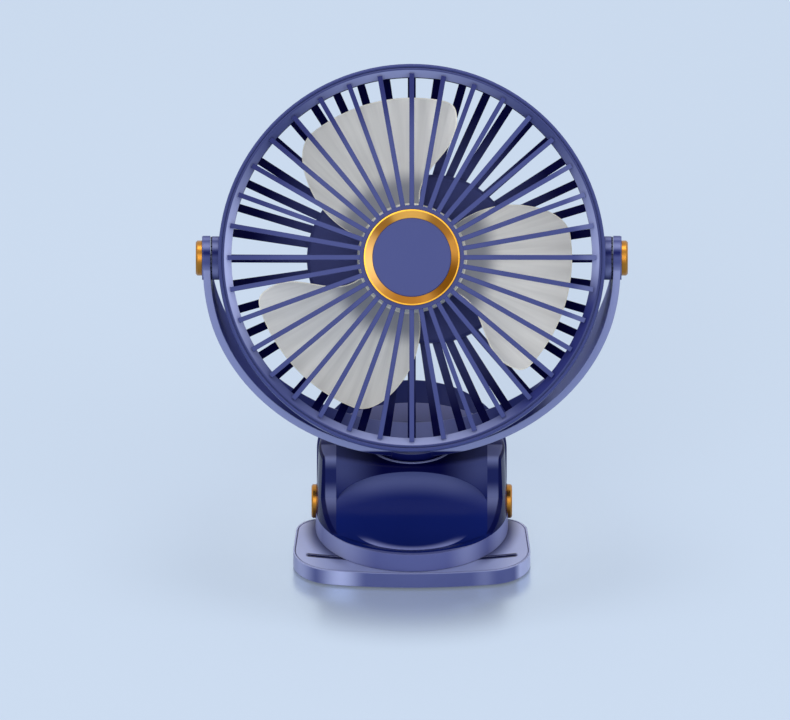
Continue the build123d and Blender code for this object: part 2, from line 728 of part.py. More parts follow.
# the room in front of the body, above the lip; the deck bulges round the collar
with BuildPart() as front_room:
    with BuildSketch(Plane.XY.offset(lip_top)):
        with BuildLine():
            Line((-60, horn_front), (-scoop_half_width, horn_front))
            ThreePointArc((-scoop_half_width, horn_front), (0, -deck_nose),
                          (scoop_half_width, horn_front))
            Polyline((scoop_half_width, horn_front), (60, horn_front), (60, -60), (-60, -60),
                     (-60, horn_front))
        make_face()
    extrude(amount=deck_top)
    with BuildSketch(Plane.YZ):
        with BuildLine():
            Line((-60, lip_top), (rim_y, lip_top))
            RadiusArc((rim_y, lip_top), (throat_y, throat_z), -lower_sweep)
            Polyline((throat_y, throat_z), (throat_y, deck_top + lip_top), (-60, deck_top + lip_top),
                     (-60, lip_top))
        make_face()
    extrude(amount=60, both=True, mode=Mode.INTERSECT)

with BuildPart() as clip_shell:
    with BuildSketch(Plane.XY.offset(lip_bottom)):
        Circle(lip_r)
    extrude(amount=deck_top - lip_bottom, taper=draft)
    add(front_room.part, mode=Mode.SUBTRACT)
    add(scoop.part, mode=Mode.SUBTRACT)
    # sloped underside behind the hinge, so that the jaw can open
    with BuildSketch(Plane.YZ):
        with BuildLine():
            ThreePointArc((hinge_y, lip_bottom),
                          (hinge_y + under_r * math.cos(math.radians(70)),
                           hinge_z - under_r * math.sin(math.radians(70))), under_start)
            Polyline(under_start, rear_corner, (deck_r + 2.6, deck_top), (60, deck_top), (60, 0),
                     (hinge_y, 0), (hinge_y, lip_bottom))
        make_face()
    extrude(amount=60, both=True, mode=Mode.SUBTRACT)
    fillet(clip_shell.edges().group_by(Axis.Z)[-1], 1.6)
    # inside, open below
    with BuildSketch():
        Circle(cavity_r)
        with Locations((0, cavity_front - 40)):
            Rectangle(100, 80, mode=Mode.SUBTRACT)
    extrude(amount=deck_bottom, mode=Mode.SUBTRACT)
    with BuildSketch(Plane.XY.offset(tube_bottom - 11)):
        Circle(washer_room_r)
    extrude(amount=11, mode=Mode.SUBTRACT)
    with BuildSketch(Plane.XY.offset(tube_bottom)):
        Circle(tube_r)
    extrude(amount=deck_bottom - tube_bottom)
    # collar, its recess and the bore for the swivel bush
    with BuildSketch(Plane.XY.offset(deck_top)):
        Circle(collar_r)
    extrude(amount=collar_height)
    with BuildSketch(Plane.XY.offset(deck_top + collar_height)):
        Circle(collar_r - collar_wall)
    extrude(amount=-recess_depth, mode=Mode.SUBTRACT)
    with BuildSketch(Plane.XY.offset(tube_bottom)):
        Circle(bush_outer_r + running_gap)
    extrude(amount=20, mode=Mode.SUBTRACT)
    # lands for the hinge caps, and the pin's holes
    for side in (1, -1):
        with BuildSketch(hinge_plane(cap_seat - 5.3, side)):
            Circle(hinge_cap_r + 0.4)
        extrude(amount=5.3)
        with BuildSketch(hinge_plane(cap_seat, side)):
            Circle(hinge_cap_r + fit_gap)
        extrude(amount=2, mode=Mode.SUBTRACT)
        with BuildSketch(hinge_plane(cap_seat - 9.3, side)):
            Circle(pin_r + running_gap)
        extrude(amount=20, mode=Mode.SUBTRACT)
    # recess for the jaw pad, and two pillars for the cover's screws
    with BuildSketch(Plane.XY.offset(lip_bottom)):
        Circle(pad_r)
        with Locations((0, pad_back + 40)):
            Rectangle(100, 80, mode=Mode.SUBTRACT)
    extrude(amount=pad_depth, mode=Mode.SUBTRACT)
    with BuildSketch(slope_plane(0, cover_plate)):
        for side in (1, -1):
            with Locations((side * cover_screw_x, cover_screw_along)):
                Circle(3.4)
            with Locations((side * (cover_screw_x + 3.75), cover_screw_along)):
                Rectangle(7.5, 2.0)
    extrude(amount=12)
    with BuildSketch(slope_plane(0, cover_plate)):
        with Locations((cover_screw_x, cover_screw_along), (-cover_screw_x, cover_screw_along)):
            Circle(1.0)
    extrude(amount=9, mode=Mode.SUBTRACT)
finish(clip_shell, "clip_shell")

with BuildPart() as shell_cover:
    with BuildSketch(slope_plane(0, 0)):
        with Locations((0, (cover_start + 30) / 2)):
            Rectangle(80, 30 - cover_start)
    extrude(amount=cover_plate)
    with BuildSketch():
        Circle(cavity_r - fit_gap)
    extrude(amount=deck_bottom, mode=Mode.INTERSECT)
    with BuildSketch(slope_plane(0, 0)):
        with Locations((cover_screw_x, cover_screw_along), (-cover_screw_x, cover_screw_along)):
            Circle(1.3)
    extrude(amount=cover_plate, mode=Mode.SUBTRACT)
    with BuildSketch(slope_plane(0, 0)):
        with Locations((cover_screw_x, cover_screw_along), (-cover_screw_x, cover_screw_along)):
            Circle(2.3)
    extrude(amount=1.2, mode=Mode.SUBTRACT)
finish(shell_cover, "shell_cover")

with BuildPart() as cover_screws:
    with BuildSketch(slope_plane(0, 0)):
        with Locations((cover_screw_x, cover_screw_along), (-cover_screw_x, cover_screw_along)):
            Circle(2.2)
    extrude(amount=1.2)
    with BuildSketch(slope_plane(0, 1.2)):
        with Locations((cover_screw_x, cover_screw_along), (-cover_screw_x, cover_screw_along)):
            Circle(0.95)
    extrude(amount=cover_plate - 1.2 + 8)
finish(cover_screws, "cover_screws")

with BuildPart() as upper_jaw_pad:
    with BuildSketch(Plane.XY.offset(lip_bottom + 0.1)):
        Circle(pad_r - fit_gap)
        with Locations((0, pad_back - fit_gap + 40)):
            Rectangle(100, 80, mode=Mode.SUBTRACT)
    extrude(amount=pad_depth - 0.1)
finish(upper_jaw_pad, "upper_jaw_pad")

with BuildPart() as swivel_bush:
    with BuildSketch(Plane.XY.offset(tube_bottom)):
        Circle(bush_outer_r)
    extrude(amount=recess_floor - tube_bottom)
    with BuildSketch(Plane.XY.offset(tube_bottom)):
        Circle(bush_outer_r + 0.8)
    extrude(amount=-0.4)
    with BuildSketch(Plane.XY.offset(tube_bottom - 0.4)):
        Circle(post_r + running_gap)
    extrude(amount=20, mode=Mode.SUBTRACT)
finish(swivel_bush, "swivel_bush")

with BuildPart() as hinge_caps:
    for side in (1, -1):
        with BuildSketch(hinge_plane(cap_seat, side)):
            Circle(hinge_cap_r)
        extrude(amount=hinge_cap_thickness)
    chamfer(hinge_caps.faces().filter_by(Axis.X).group_by(Axis.X)[0].edges(), 0.6)
    chamfer(hinge_caps.faces().filter_by(Axis.X).group_by(Axis.X)[-1].edges(), 0.6)
    for side in (1, -1):
        with BuildSketch(hinge_plane(cap_seat, side)):
            Circle(pin_r - running_gap)
        extrude(amount=-1.0)
finish(hinge_caps, "hinge_caps")

# ---- foot: plate, hinge ears and the squeeze lever in one moulding --------------------------------
front_curve_r = 200.0
rear_half_width = foot_half_width - foot_taper
front_corner_y = front_curve_r - foot_front - math.sqrt(front_curve_r ** 2 - foot_half_width ** 2)
ear_x = cavity_r - 7.8
window_half_width = ear_x + 5.0   # the plate is plain under the body, where the ears stand
window_front = -5.0
groove_width = 1.4          # curved groove across the plate in front of the pad
groove_front = foot_front - 12.0
groove_half_length = foot_half_width - 7.0
lower_pad_r = groove_front - groove_width / 2 - 2.0
lever_rise = math.radians(lever_angle)
lever_along = Vector(0, math.cos(lever_rise), math.sin(lever_rise))
lever_back = Vector(0, math.sin(lever_rise), -math.cos(lever_rise))
tip = Vector(0, deck_r + lever_reach, deck_top - lever_drop)
outer_tip = tip + lever_back * lever_thickness
inner_root_y = tip.Y - (tip.Z - foot_top) / math.tan(lever_rise)
outer_root_y = outer_tip.Y - (outer_tip.Z - foot_bottom) / math.tan(lever_rise)
base_pad_inset = 0.6         # anti-slip pad, let into the plate's underside
base_pad_width = 2 * (foot_half_width - 14.0)
base_pad_front = foot_front - 6.6
base_pad_length = inner_root_y - 11.2 + base_pad_front
base_pad_y = base_pad_length / 2 - base_pad_front

with BuildSketch() as plate_outline:
    with BuildLine():
        ThreePointArc((-foot_half_width, front_corner_y), (0, -foot_front),
                      (foot_half_width, front_corner_y))
        Polyline((foot_half_width, front_corner_y), (rear_half_width, foot_shoulder_y),
                 (-rear_half_width, foot_shoulder_y), (-foot_half_width, front_corner_y))
    make_face()
    fillet(plate_outline.vertices().group_by(Axis.Y)[0], 18.0)
    fillet(plate_outline.vertices().group_by(Axis.Y)[-1], 11.0)

with BuildSketch() as panel_outline:
    add(plate_outline.sketch)
    offset(amount=-panel_margin, mode=Mode.REPLACE)
    with Locations((0, window_front + 20)):
        Rectangle(2 * window_half_width, 40, mode=Mode.SUBTRACT)

with BuildSketch() as pad_outline:
    Circle(lower_pad_r)
    with Locations((0, window_front + 36)):
        Rectangle(100, 80, mode=Mode.SUBTRACT)

with BuildSketch() as groove:
    with BuildLine():
        groove_end_y = (front_curve_r - groove_front
                        - math.sqrt(front_curve_r ** 2 - groove_half_length ** 2))
        groove_line = ThreePointArc((-groove_half_length, groove_end_y), (0, -groove_front),
                                    (groove_half_length, groove_end_y))
    SlotArc(groove_line, groove_width)

with BuildPart() as foot_tray:
    with BuildSketch(Plane.YZ) as lever_profile:
        with BuildLine():
            Polyline((0, foot_bottom), (outer_root_y, foot_bottom), (outer_tip.Y, outer_tip.Z),
                     (tip.Y, tip.Z), (inner_root_y, foot_top), (0, foot_top), (0, foot_bottom))
        make_face()
        fillet(lever_profile.vertices().sort_by_distance((inner_root_y, foot_top))[0], 9.0)
        fillet(lever_profile.vertices().sort_by_distance((outer_root_y, foot_bottom))[0], 12.0)
    extrude(amount=lever_half_width, both=True)
    with BuildSketch(Plane(origin=tip, x_dir=(-1, 0, 0), z_dir=lever_back)):
        with Locations((0, -lever_end_length)):
            Ellipse(lever_half_width, lever_end_length)
        with Locations((0, -lever_end_length - 60)):
            Rectangle(2 * lever_half_width, 120)
    extrude(amount=80, both=True, mode=Mode.INTERSECT)
    with BuildSketch(Plane.XY.offset(foot_bottom)):
        add(plate_outline.sketch)
    extrude(amount=foot_top - foot_bottom)
    with BuildSketch(Plane.XY.offset(foot_top)):
        add(panel_outline.sketch)
    extrude(amount=-panel_thickness, mode=Mode.SUBTRACT)
    with BuildSketch(Plane.XY.offset(foot_bottom)):
        with Locations((0, base_pad_y)):
            RectangleRounded(base_pad_width + 2 * fit_gap, base_pad_length + 2 * fit_gap, 9.0)
    extrude(amount=base_pad_inset, mode=Mode.SUBTRACT)
    for side in (1, -1):
        ear_plane = Plane.YZ.offset(side * ear_x - ear_thickness / 2)
        with BuildSketch(ear_plane):
            with Locations((hinge_y, hinge_z)):
                Circle(ear_r)
            with Locations((hinge_y, (hinge_z + foot_top - 1) / 2)):
                Rectangle(2 * ear_r, hinge_z - foot_top + 1)
        extrude(amount=ear_thickness)
        with BuildSketch(ear_plane):
            with Locations((hinge_y, hinge_z)):
                Circle(pin_r + 0.02)
        extrude(amount=ear_thickness, mode=Mode.SUBTRACT)
finish(foot_tray, "foot_tray")

with BuildPart() as foot_panel:
    with BuildSketch(Plane.XY.offset(foot_top - panel_thickness)):
        add(panel_outline.sketch)
        offset(amount=-seam_gap, mode=Mode.REPLACE)
        with BuildSketch(mode=Mode.PRIVATE) as pad_window:
            add(pad_outline.sketch)
            offset(amount=fit_gap, mode=Mode.REPLACE)
        add(pad_window.sketch, mode=Mode.SUBTRACT)
        add(groove.sketch, mode=Mode.SUBTRACT)
    extrude(amount=panel_thickness)
finish(foot_panel, "foot_panel")

with BuildPart() as lower_jaw_pad:
    with BuildSketch(Plane.XY.offset(foot_top - panel_thickness)):
        add(pad_outline.sketch)
    extrude(amount=panel_thickness)
finish(lower_jaw_pad, "lower_jaw_pad")

with BuildPart() as base_pad:
    with BuildSketch():
        with Locations((0, base_pad_y)):
            RectangleRounded(base_pad_width, base_pad_length, 9.0)
    extrude(amount=foot_bottom + base_pad_inset)
    chamfer(base_pad.edges().group_by(Axis.Z)[0], 0.3)
finish(base_pad, "base_pad")

pin_half_length = cap_seat - 1.0 - seat_gap
with BuildPart() as hinge_pin:
    with BuildSketch(hinge_plane(-pin_half_length, 1)):
        Circle(pin_r)
    extrude(amount=2 * pin_half_length)
    chamfer(hinge_pin.edges().filter_by(GeomType.CIRCLE), 0.4)
finish(hinge_pin, "hinge_pin")

wire = 1.6
spring_leg = 13.0
spring_inner_r = pin_r + 0.7
spring_outer_r = spring_inner_r + 2.0
spring_end = ear_x - ear_thickness / 2 - 6.0
spring_start = spring_end - 11.0   # each coil runs from here to spring_end
with BuildPart() as torsion_springs:
    for side in (1, -1):
        with BuildSketch(Plane.YZ.offset(side * spring_start)):
            with Locations((hinge_y, hinge_z)):
                Circle(spring_outer_r)
                Circle(spring_inner_r, mode=Mode.SUBTRACT)
        extrude(amount=side * (spring_end - spring_start))
        with BuildSketch(Plane.YZ.offset(side * spring_start)):
            with Locations((hinge_y - spring_outer_r + wire / 2, (foot_top + hinge_z) / 2)):
                Rectangle(wire, hinge_z - foot_top)
        extrude(amount=side * wire)
        with BuildSketch(Plane.YZ.offset(side * spring_end)):
            with Locations((hinge_y + spring_outer_r - wire / 2, hinge_z + spring_leg / 2)):
                Rectangle(wire, spring_leg)
        extrude(amount=-side * wire)
finish(torsion_springs, "torsion_springs")
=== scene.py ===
"""Looks of the clip-on camping fan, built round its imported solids."""
import math

import bpy
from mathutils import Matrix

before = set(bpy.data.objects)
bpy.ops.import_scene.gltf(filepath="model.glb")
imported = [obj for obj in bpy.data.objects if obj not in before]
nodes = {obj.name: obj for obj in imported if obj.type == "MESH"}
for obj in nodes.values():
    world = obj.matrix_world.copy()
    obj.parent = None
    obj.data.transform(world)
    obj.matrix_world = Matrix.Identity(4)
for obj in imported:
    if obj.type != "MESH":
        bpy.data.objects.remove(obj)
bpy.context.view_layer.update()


# ---- rubber pads: under the foot and in the upper jaw ------------------------------------------------
# Two pads of soft moulded rubber, one set into the foot from below and one into the upper jaw. Their
# fine diamond tread is a little worn and dusty on its ridges.
def put(tree, kind, settings=None, **sockets):
    """Add a shader node to a tree; each named or numbered input takes a value or another output."""
    made = tree.nodes.new("ShaderNode" + kind)
    for key, value in (settings or {}).items():
        setattr(made, key, value)
    for key, value in sockets.items():
        socket = made.inputs[int(key[1:]) if key[1:].isdigit() else key.replace("_", " ")]
        if isinstance(value, bpy.types.NodeSocket):
            tree.links.new(value, socket)
        else:
            socket.default_value = value
    return made


def new_group(name, inputs, outputs):
    """A shader node group with float inputs and their plain values, and its outputs' kinds."""
    tree = bpy.data.node_groups.new(name, "ShaderNodeTree")
    for label, value in inputs.items():
        made = tree.interface.new_socket(name=label, in_out="INPUT", socket_type="NodeSocketFloat")
        made.default_value = value
    for label, kind in outputs.items():
        tree.interface.new_socket(name=label, in_out="OUTPUT", socket_type="NodeSocket" + kind)
    return tree, tree.nodes.new("NodeGroupInput").outputs, tree.nodes.new("NodeGroupOutput").inputs


def place_group(tree, group, **values):
    """Place a node group in a material with its own values."""
    made = tree.nodes.new("ShaderNodeGroup")
    made.node_tree = group
    for key, value in values.items():
        made.inputs[key.replace("_", " ")].default_value = value
    return made.outputs


def new_material(name):
    """A node material with its shader: returns the material, its tree and the shader's inputs."""
    material = bpy.data.materials.new(name)
    material.use_nodes = True
    return material, material.node_tree, material.node_tree.nodes["Principled BSDF"].inputs


def blend_colours(tree, factor, first, second):
    """Mix two colours by a mask."""
    mixed = put(tree, "Mix", {"data_type": "RGBA"}, i0=factor, i6=first, i7=second)
    return mixed.outputs[2]


def between(tree, mask, low, high):
    """A number that goes from low to high as a mask goes from 0 to 1."""
    return put(tree, "MapRange", None, Value=mask, To_Min=low, To_Max=high).outputs["Result"]


def surface(tree, shader, colour, roughness, normal):
    """Join a colour, a roughness and a normal to the shader."""
    tree.links.new(colour, shader["Base Color"])
    tree.links.new(roughness, shader["Roughness"])
    tree.links.new(normal, shader["Normal"])


def paint(material, *names):
    """Give CAD nodes this material."""
    for name in names:
        slots = nodes[name].data.materials
        slots.clear()
        slots.append(material)


# The moulded skin: a normal that is rounded over each edge and bumped by fine grain, a mask that is
# 1 on the edges, and two noises, a fine grain and a broad ripple.
grain_depth = 0.0002
sharpest_edge = 0.75
skin_group, skin_in, skin_out = new_group(
    "moulded_skin",
    {"Edge Radius": 0.0004, "Grain Scale": 2200.0, "Grain Height": 0.06, "Ripple Scale": 60.0},
    {"Normal": "Vector", "Edge": "Float", "Grain": "Float", "Ripple": "Float"})
skin_place = put(skin_group, "TexCoord").outputs["Object"]
rounded = put(skin_group, "Bevel", {"samples": 4}, Radius=skin_in["Edge Radius"]).outputs["Normal"]
facing = put(skin_group, "VectorMath", {"operation": "DOT_PRODUCT"}, i0=rounded,
             i1=put(skin_group, "NewGeometry").outputs["Normal"]).outputs["Value"]
edge_mask = put(skin_group, "MapRange", {"clamp": True}, Value=facing, From_Min=1.0,
                From_Max=sharpest_edge, To_Min=0.0, To_Max=1.0).outputs["Result"]
grain = put(skin_group, "TexNoise", None, Vector=skin_place, Scale=skin_in["Grain Scale"], Detail=3.0,
            Roughness=0.6).outputs["Fac"]
ripple = put(skin_group, "TexNoise", None, Vector=skin_place, Scale=skin_in["Ripple Scale"],
             Detail=2.0, Roughness=0.45).outputs["Fac"]
bumped = put(skin_group, "Bump", None, Strength=skin_in["Grain Height"], Distance=grain_depth,
             Height=grain, Normal=rounded).outputs["Normal"]
for label, value in (("Normal", bumped), ("Edge", edge_mask), ("Grain", grain), ("Ripple", ripple)):
    skin_group.links.new(value, skin_out[label])

tread_turn = math.radians(45)
tread_rows_per_metre = 400.0
tread_depth = 0.0003
rubber_black = (0.012, 0.012, 0.02, 1)
dusty_black = (0.03, 0.03, 0.042, 1)
rubber, tree, shader = new_material("pad_rubber")
skin = place_group(tree, skin_group, Edge_Radius=0.0003, Grain_Scale=3000.0, Grain_Height=0.3)
turned = put(tree, "Mapping", None, Vector=put(tree, "TexCoord").outputs["Object"],
             Rotation=(0, 0, tread_turn)).outputs["Vector"]
tread = put(tree, "TexBrick", {"offset": 0.0}, Vector=turned, Scale=tread_rows_per_metre,
            Mortar_Size=0.012, Mortar_Smooth=0.4, Brick_Width=1.0, Row_Height=1.0).outputs["Fac"]
relief = put(tree, "Bump", {"invert": True}, Strength=0.6, Distance=tread_depth, Height=tread,
             Normal=skin["Normal"]).outputs["Normal"]
surface(tree, shader, blend_colours(tree, skin["Ripple"], rubber_black, dusty_black),
        between(tree, skin["Grain"], 0.62, 0.9), relief)
paint(rubber, "base_pad", "upper_jaw_pad")


# ---- foot: plate, inlaid panel and grip pad ----------------------------------------------------------
# Lavender blue plastic from a polished tool; the panel is set into the plate, and the grip pad into
# the panel. The top is satin and painted paler than the rim as painted light, with painted shade in
# its middle and beside the clip body. The rim carries painted upright sheens, and a shallow groove
# holds a painted line of shade. The lever behind the clip body is part of the plate's moulding and is
# painted darker as painted shade.
def maths(tree, operation, *values):
    """One step of arithmetic on masks and numbers."""
    made = tree.nodes.new("ShaderNodeMath")
    made.operation = operation
    for number, value in enumerate(values):
        if isinstance(value, bpy.types.NodeSocket):
            tree.links.new(value, made.inputs[number])
        else:
            made.inputs[number].default_value = value
    return made.outputs["Value"]


def product(tree, first, *others):
    """Masks multiplied with each other."""
    for mask in others:
        first = maths(tree, "MULTIPLY", first, mask)
    return first


def ramp(tree, value, low, high, smooth=True):
    """A mask that goes from 0 where the value is low to 1 where it is high; low may be the larger."""
    settings = {"interpolation_type": "SMOOTHSTEP"} if smooth else {}
    return put(tree, "MapRange", settings, Value=value, From_Min=low, From_Max=high).outputs["Result"]


def object_axes(tree):
    """The surface's place on the piece, as X, Y and Z."""
    return put(tree, "SeparateXYZ", None, Vector=put(tree, "TexCoord").outputs["Object"]).outputs


def distance_of(tree, first, second):
    """The distance from an axis, from the places along two directions at right angles to it."""
    return maths(tree, "SQRT", maths(tree, "ADD", maths(tree, "POWER", first, 2.0),
                                     maths(tree, "POWER", second, 2.0)))


def soft_bands(tree, along, bands):
    """Soft upright bands: the highest of smooth peaks, each with its place, half width and strength."""
    highest = None
    for place, width, share in bands:
        gap = maths(tree, "ABSOLUTE", maths(tree, "SUBTRACT", along, place))
        band = maths(tree, "MULTIPLY", ramp(tree, gap, width, 0.0), share)
        highest = band if highest is None else maths(tree, "MAXIMUM", highest, band)
    return highest


panel_edge = 0.0070
groove_floor = 0.0058
groove_radius = 0.2000
groove_middle = 0.1709
groove_reach = 0.0425
groove_blur = (0.0019, 0.0012)
lever_fade = (0.0085, 0.0125)
middle_shade_fade = (0.020, 0.046)
shade_reach = (0.0465, 0.0395)
shade_sides = (0.0240, 0.0330)
shade_strength = 0.85
rim_painted_sheen_bands = ((-0.0295, 0.011, 1.0), (-0.0460, 0.007, 0.7), (0.0480, 0.006, 2.4), (0.0300, 0.006, 0.20))
rim_blue = (0.075, 0.090, 0.255, 1)
rim_blue_pale = (0.092, 0.108, 0.290, 1)
rim_painted_sheen = (0.44, 0.48, 0.76, 1)
top_lavender_painted_light = (0.500, 0.560, 0.880, 1)
top_lavender_painted_light_pale = (0.600, 0.655, 0.980, 1)
top_middle_painted_shade = (0.300, 0.340, 0.600, 1)
body_shade = (0.018, 0.023, 0.110, 1)
groove_shade = (0.006, 0.009, 0.060, 1)
lever_shade_blue = (0.018, 0.025, 0.120, 1)
lever_shade_blue_pale = (0.026, 0.034, 0.150, 1)
plate_edge = (0.24, 0.26, 0.50, 1)
lever_edge = (0.070, 0.080, 0.240, 1)

foot_plastic, tree, shader = new_material("foot_plastic")
skin = place_group(tree, skin_group, Edge_Radius=0.0005, Grain_Scale=1800.0, Grain_Height=0.04,
                   Ripple_Scale=45.0)
axes = object_axes(tree)
aside = maths(tree, "ABSOLUTE", axes["X"])

rim = blend_colours(tree, skin["Ripple"], rim_blue, rim_blue_pale)
# The rim's upright sheens are painted highlights.
rim = blend_colours(tree, soft_bands(tree, axes["X"], rim_painted_sheen_bands), rim, rim_painted_sheen)

# The top is painted paler than the rim as painted light, with painted shade in its middle and beside the
# clip body.
top = blend_colours(tree, skin["Ripple"], top_lavender_painted_light, top_lavender_painted_light_pale)
top = blend_colours(tree, ramp(tree, aside, *middle_shade_fade), top_middle_painted_shade, top)
from_middle = distance_of(tree, axes["X"], axes["Y"])
near_body = product(tree, ramp(tree, from_middle, *shade_reach), ramp(tree, aside, *shade_sides),
                    shade_strength)
top = blend_colours(tree, near_body, top, body_shade)
body = blend_colours(tree, ramp(tree, axes["Z"], panel_edge, panel_edge + 0.0004, False), rim, top)

from_bend = distance_of(tree, axes["X"], maths(tree, "SUBTRACT", axes["Y"], groove_middle))
off_groove = maths(tree, "ABSOLUTE", maths(tree, "SUBTRACT", from_bend, groove_radius))
in_groove = product(tree, ramp(tree, off_groove, *groove_blur),
                    ramp(tree, aside, groove_reach + 0.0015, groove_reach),
                    ramp(tree, axes["Z"], groove_floor, groove_floor + 0.0004))
body = blend_colours(tree, in_groove, body, groove_shade)

# The lever is painted darker than the plate as painted shade.
on_lever = ramp(tree, axes["Z"], *lever_fade)
lever = blend_colours(tree, skin["Ripple"], lever_shade_blue, lever_shade_blue_pale)
body = blend_colours(tree, on_lever, body, lever)
edge_tone = blend_colours(tree, on_lever, plate_edge, lever_edge)
surface(tree, shader, blend_colours(tree, skin["Edge"], body, edge_tone),
        between(tree, skin["Grain"], 0.26, 0.38), skin["Normal"])
shader["Specular IOR Level"].default_value = 0.25
paint(foot_plastic, "foot_tray", "foot_panel", "lower_jaw_pad")


# ---- hinge pin, springs, screws, motor and charging port ----------------------------------------------
# Turned and pressed steel, zinc plated, with faint turning marks that are duller in their grooves. The
# two springs on the pin are darker, oiled wire.
for name, tone, marks, members in (
        ("zinc_steel", 0.52, 900.0, ("hinge_pin", "cover_screws", "pivot_screws", "swivel_washer",
                                     "swivel_screw", "rear_cover_screws", "motor_screws",
                                     "motor_shaft", "motor_can", "charging_port")),
        ("spring_wire", 0.22, 500.0, ("torsion_springs",))):
    steel, tree, shader = new_material(name)
    skin = place_group(tree, skin_group, Edge_Radius=0.00015, Grain_Scale=4000.0, Grain_Height=0.04,
                       Ripple_Scale=marks)
    bright = (tone, tone, tone * 1.04, 1)
    dull = (tone * 0.7, tone * 0.7, tone * 0.72, 1)
    surface(tree, shader, blend_colours(tree, skin["Ripple"], bright, dull),
            between(tree, skin["Ripple"], 0.22, 0.42), skin["Normal"])
    shader["Metallic"].default_value = 1.0
    paint(steel, *members)

# ---- clip body --------------------------------------------------------------------------------------
# One deep blue moulding with a high gloss, held on the hinge pin. Its light and shade are painted: a
# crescent of painted light under the arch of the hollow, a painted highlight along the edge of the
# hollow's floor, painted sheens down the front corners and on the lip, a painted highlight line round
# the collar, a painted shadow in the middle of the front wall that runs onto the deck in front of the
# collar, and painted shade low on that wall and on the outer walls. The lip and the deck are satin and
# as pale as the foot.
lip_top = 0.0153
lip_radius = 0.0376
lip_swell = 0.0015
lip_widening = (0.0120, 0.0280)
lip_painted_sheen_bands = ((-0.0290, 0.015, 0.55), (0.0230, 0.009, 0.40), (0.0365, 0.006, 0.45), (-0.0390, 0.005, 0.40))
arch_half_width = 0.0320
arch_base = 0.0200
arch_height = 0.0230
arch_blur = (1.02, 0.98)
crescent_fade = (0.0262, 0.0350)
crescent_sag = 5.0
crescent_sides = (0.0310, 0.0140)
crescent_side_share = 0.55
floor_height = 0.0140
floor_radius = 0.0318
floor_rim_fade = (0.0280, 0.0316)
floor_rim_front = (-0.0210, -0.0285)
front_face = (0.0010, -0.0010)
wall_fade = (0.0110, 0.0300)
low_wall_fade = (0.0420, 0.0260)
corner_start = 0.0311
corner_painted_sheen_bands = ((0.0480, 0.0085, 1.0), (0.0275, 0.0075, 0.55))
wall_radius = 0.0372
deck_height = 0.0446
deck_front = (0.0, 0.0080)
collar_height = 0.0461
collar_radius = 0.0165
satin_roughness = 0.18
deep_blue = (0.0050, 0.0125, 0.125, 1)
deep_blue_pale = (0.0085, 0.0185, 0.155, 1)
crescent_painted_light = (0.110, 0.128, 0.310, 1)
floor_rim_painted_highlight = (0.300, 0.335, 0.680, 1)
wall_painted_shadow = (0.0008, 0.0012, 0.042, 1)
wall_blue = (0.058, 0.068, 0.190, 1)
low_wall_painted_shade = (0.010, 0.015, 0.105, 1)
corner_blue = (0.016, 0.022, 0.115, 1)
corner_painted_sheen = (0.260, 0.285, 0.520, 1)
outer_wall_painted_shade = (0.004, 0.006, 0.062, 1)
lip_blue = (0.100, 0.116, 0.300, 1)
lip_blue_pale = (0.118, 0.134, 0.338, 1)
lip_painted_sheen = (0.40, 0.435, 0.70, 1)
deck_blue = (0.120, 0.132, 0.300, 1)
deck_blue_pale = (0.150, 0.162, 0.350, 1)
collar_painted_highlight = (0.300, 0.330, 0.600, 1)
gloss_edge = (0.014, 0.019, 0.110, 1)
satin_edge = (0.20, 0.215, 0.45, 1)

body_plastic, tree, shader = new_material("body_plastic")
skin = place_group(tree, skin_group, Edge_Radius=0.0005, Grain_Scale=900.0, Grain_Height=0.012,
                   Ripple_Scale=30.0)
axes = object_axes(tree)
aside = maths(tree, "ABSOLUTE", axes["X"])
from_middle = distance_of(tree, aside, axes["Y"])

# The hollow: a painted crescent of light under its arch, and a thin painted highlight along the front of
# its floor.
over_arch = maths(tree, "ADD", maths(tree, "POWER", maths(tree, "DIVIDE", aside, arch_half_width), 2.0),
                  maths(tree, "POWER", maths(tree, "DIVIDE", maths(
                      tree, "SUBTRACT", axes["Z"], arch_base), arch_height), 2.0))
hollow = ramp(tree, over_arch, *arch_blur)
deep = blend_colours(tree, skin["Ripple"], deep_blue, deep_blue_pale)
sagging = maths(tree, "MULTIPLY_ADD", maths(tree, "POWER", aside, 2.0), crescent_sag, axes["Z"])
side_fade = between(tree, ramp(tree, aside, *crescent_sides), crescent_side_share, 1.0)
crescent = product(tree, hollow, ramp(tree, sagging, *crescent_fade), side_fade)
inside = blend_colours(tree, crescent, deep, crescent_painted_light)
floor_rim = product(tree, ramp(tree, axes["Z"], floor_height + 0.0020, floor_height),
                    ramp(tree, from_middle, *floor_rim_fade),
                    ramp(tree, from_middle, floor_radius + 0.0003, floor_radius, False),
                    ramp(tree, axes["Y"], *floor_rim_front))
inside = blend_colours(tree, floor_rim, inside, floor_rim_painted_highlight)

# The front wall beside the hollow, with a painted shadow in the middle and painted shade low down, and
# the corners, which end in the side walls and carry painted sheens.
wall_tone = blend_colours(tree, ramp(tree, aside, *wall_fade), wall_painted_shadow, wall_blue)
wall_tone = blend_colours(tree, ramp(tree, axes["Z"], *low_wall_fade), wall_tone, low_wall_painted_shade)
face = blend_colours(tree, maths(tree, "SUBTRACT", 1.0, hollow), inside, wall_tone)
corner_tone = blend_colours(tree, soft_bands(tree, axes["Z"], corner_painted_sheen_bands), corner_blue, corner_painted_sheen)
corner = ramp(tree, aside, corner_start, corner_start + 0.0002, False)
face = blend_colours(tree, corner, face, corner_tone)
front = ramp(tree, axes["Y"], *front_face)
above_lip = ramp(tree, axes["Z"], lip_top, lip_top + 0.0008, False)
face = blend_colours(tree, product(tree, front, maths(tree, "MAXIMUM", above_lip, hollow)), deep, face)
# The outer walls are painted darker as painted shade.
outer_wall = ramp(tree, from_middle, wall_radius, wall_radius + 0.0004, False)
face = blend_colours(tree, product(tree, outer_wall, above_lip), face, outer_wall_painted_shade)
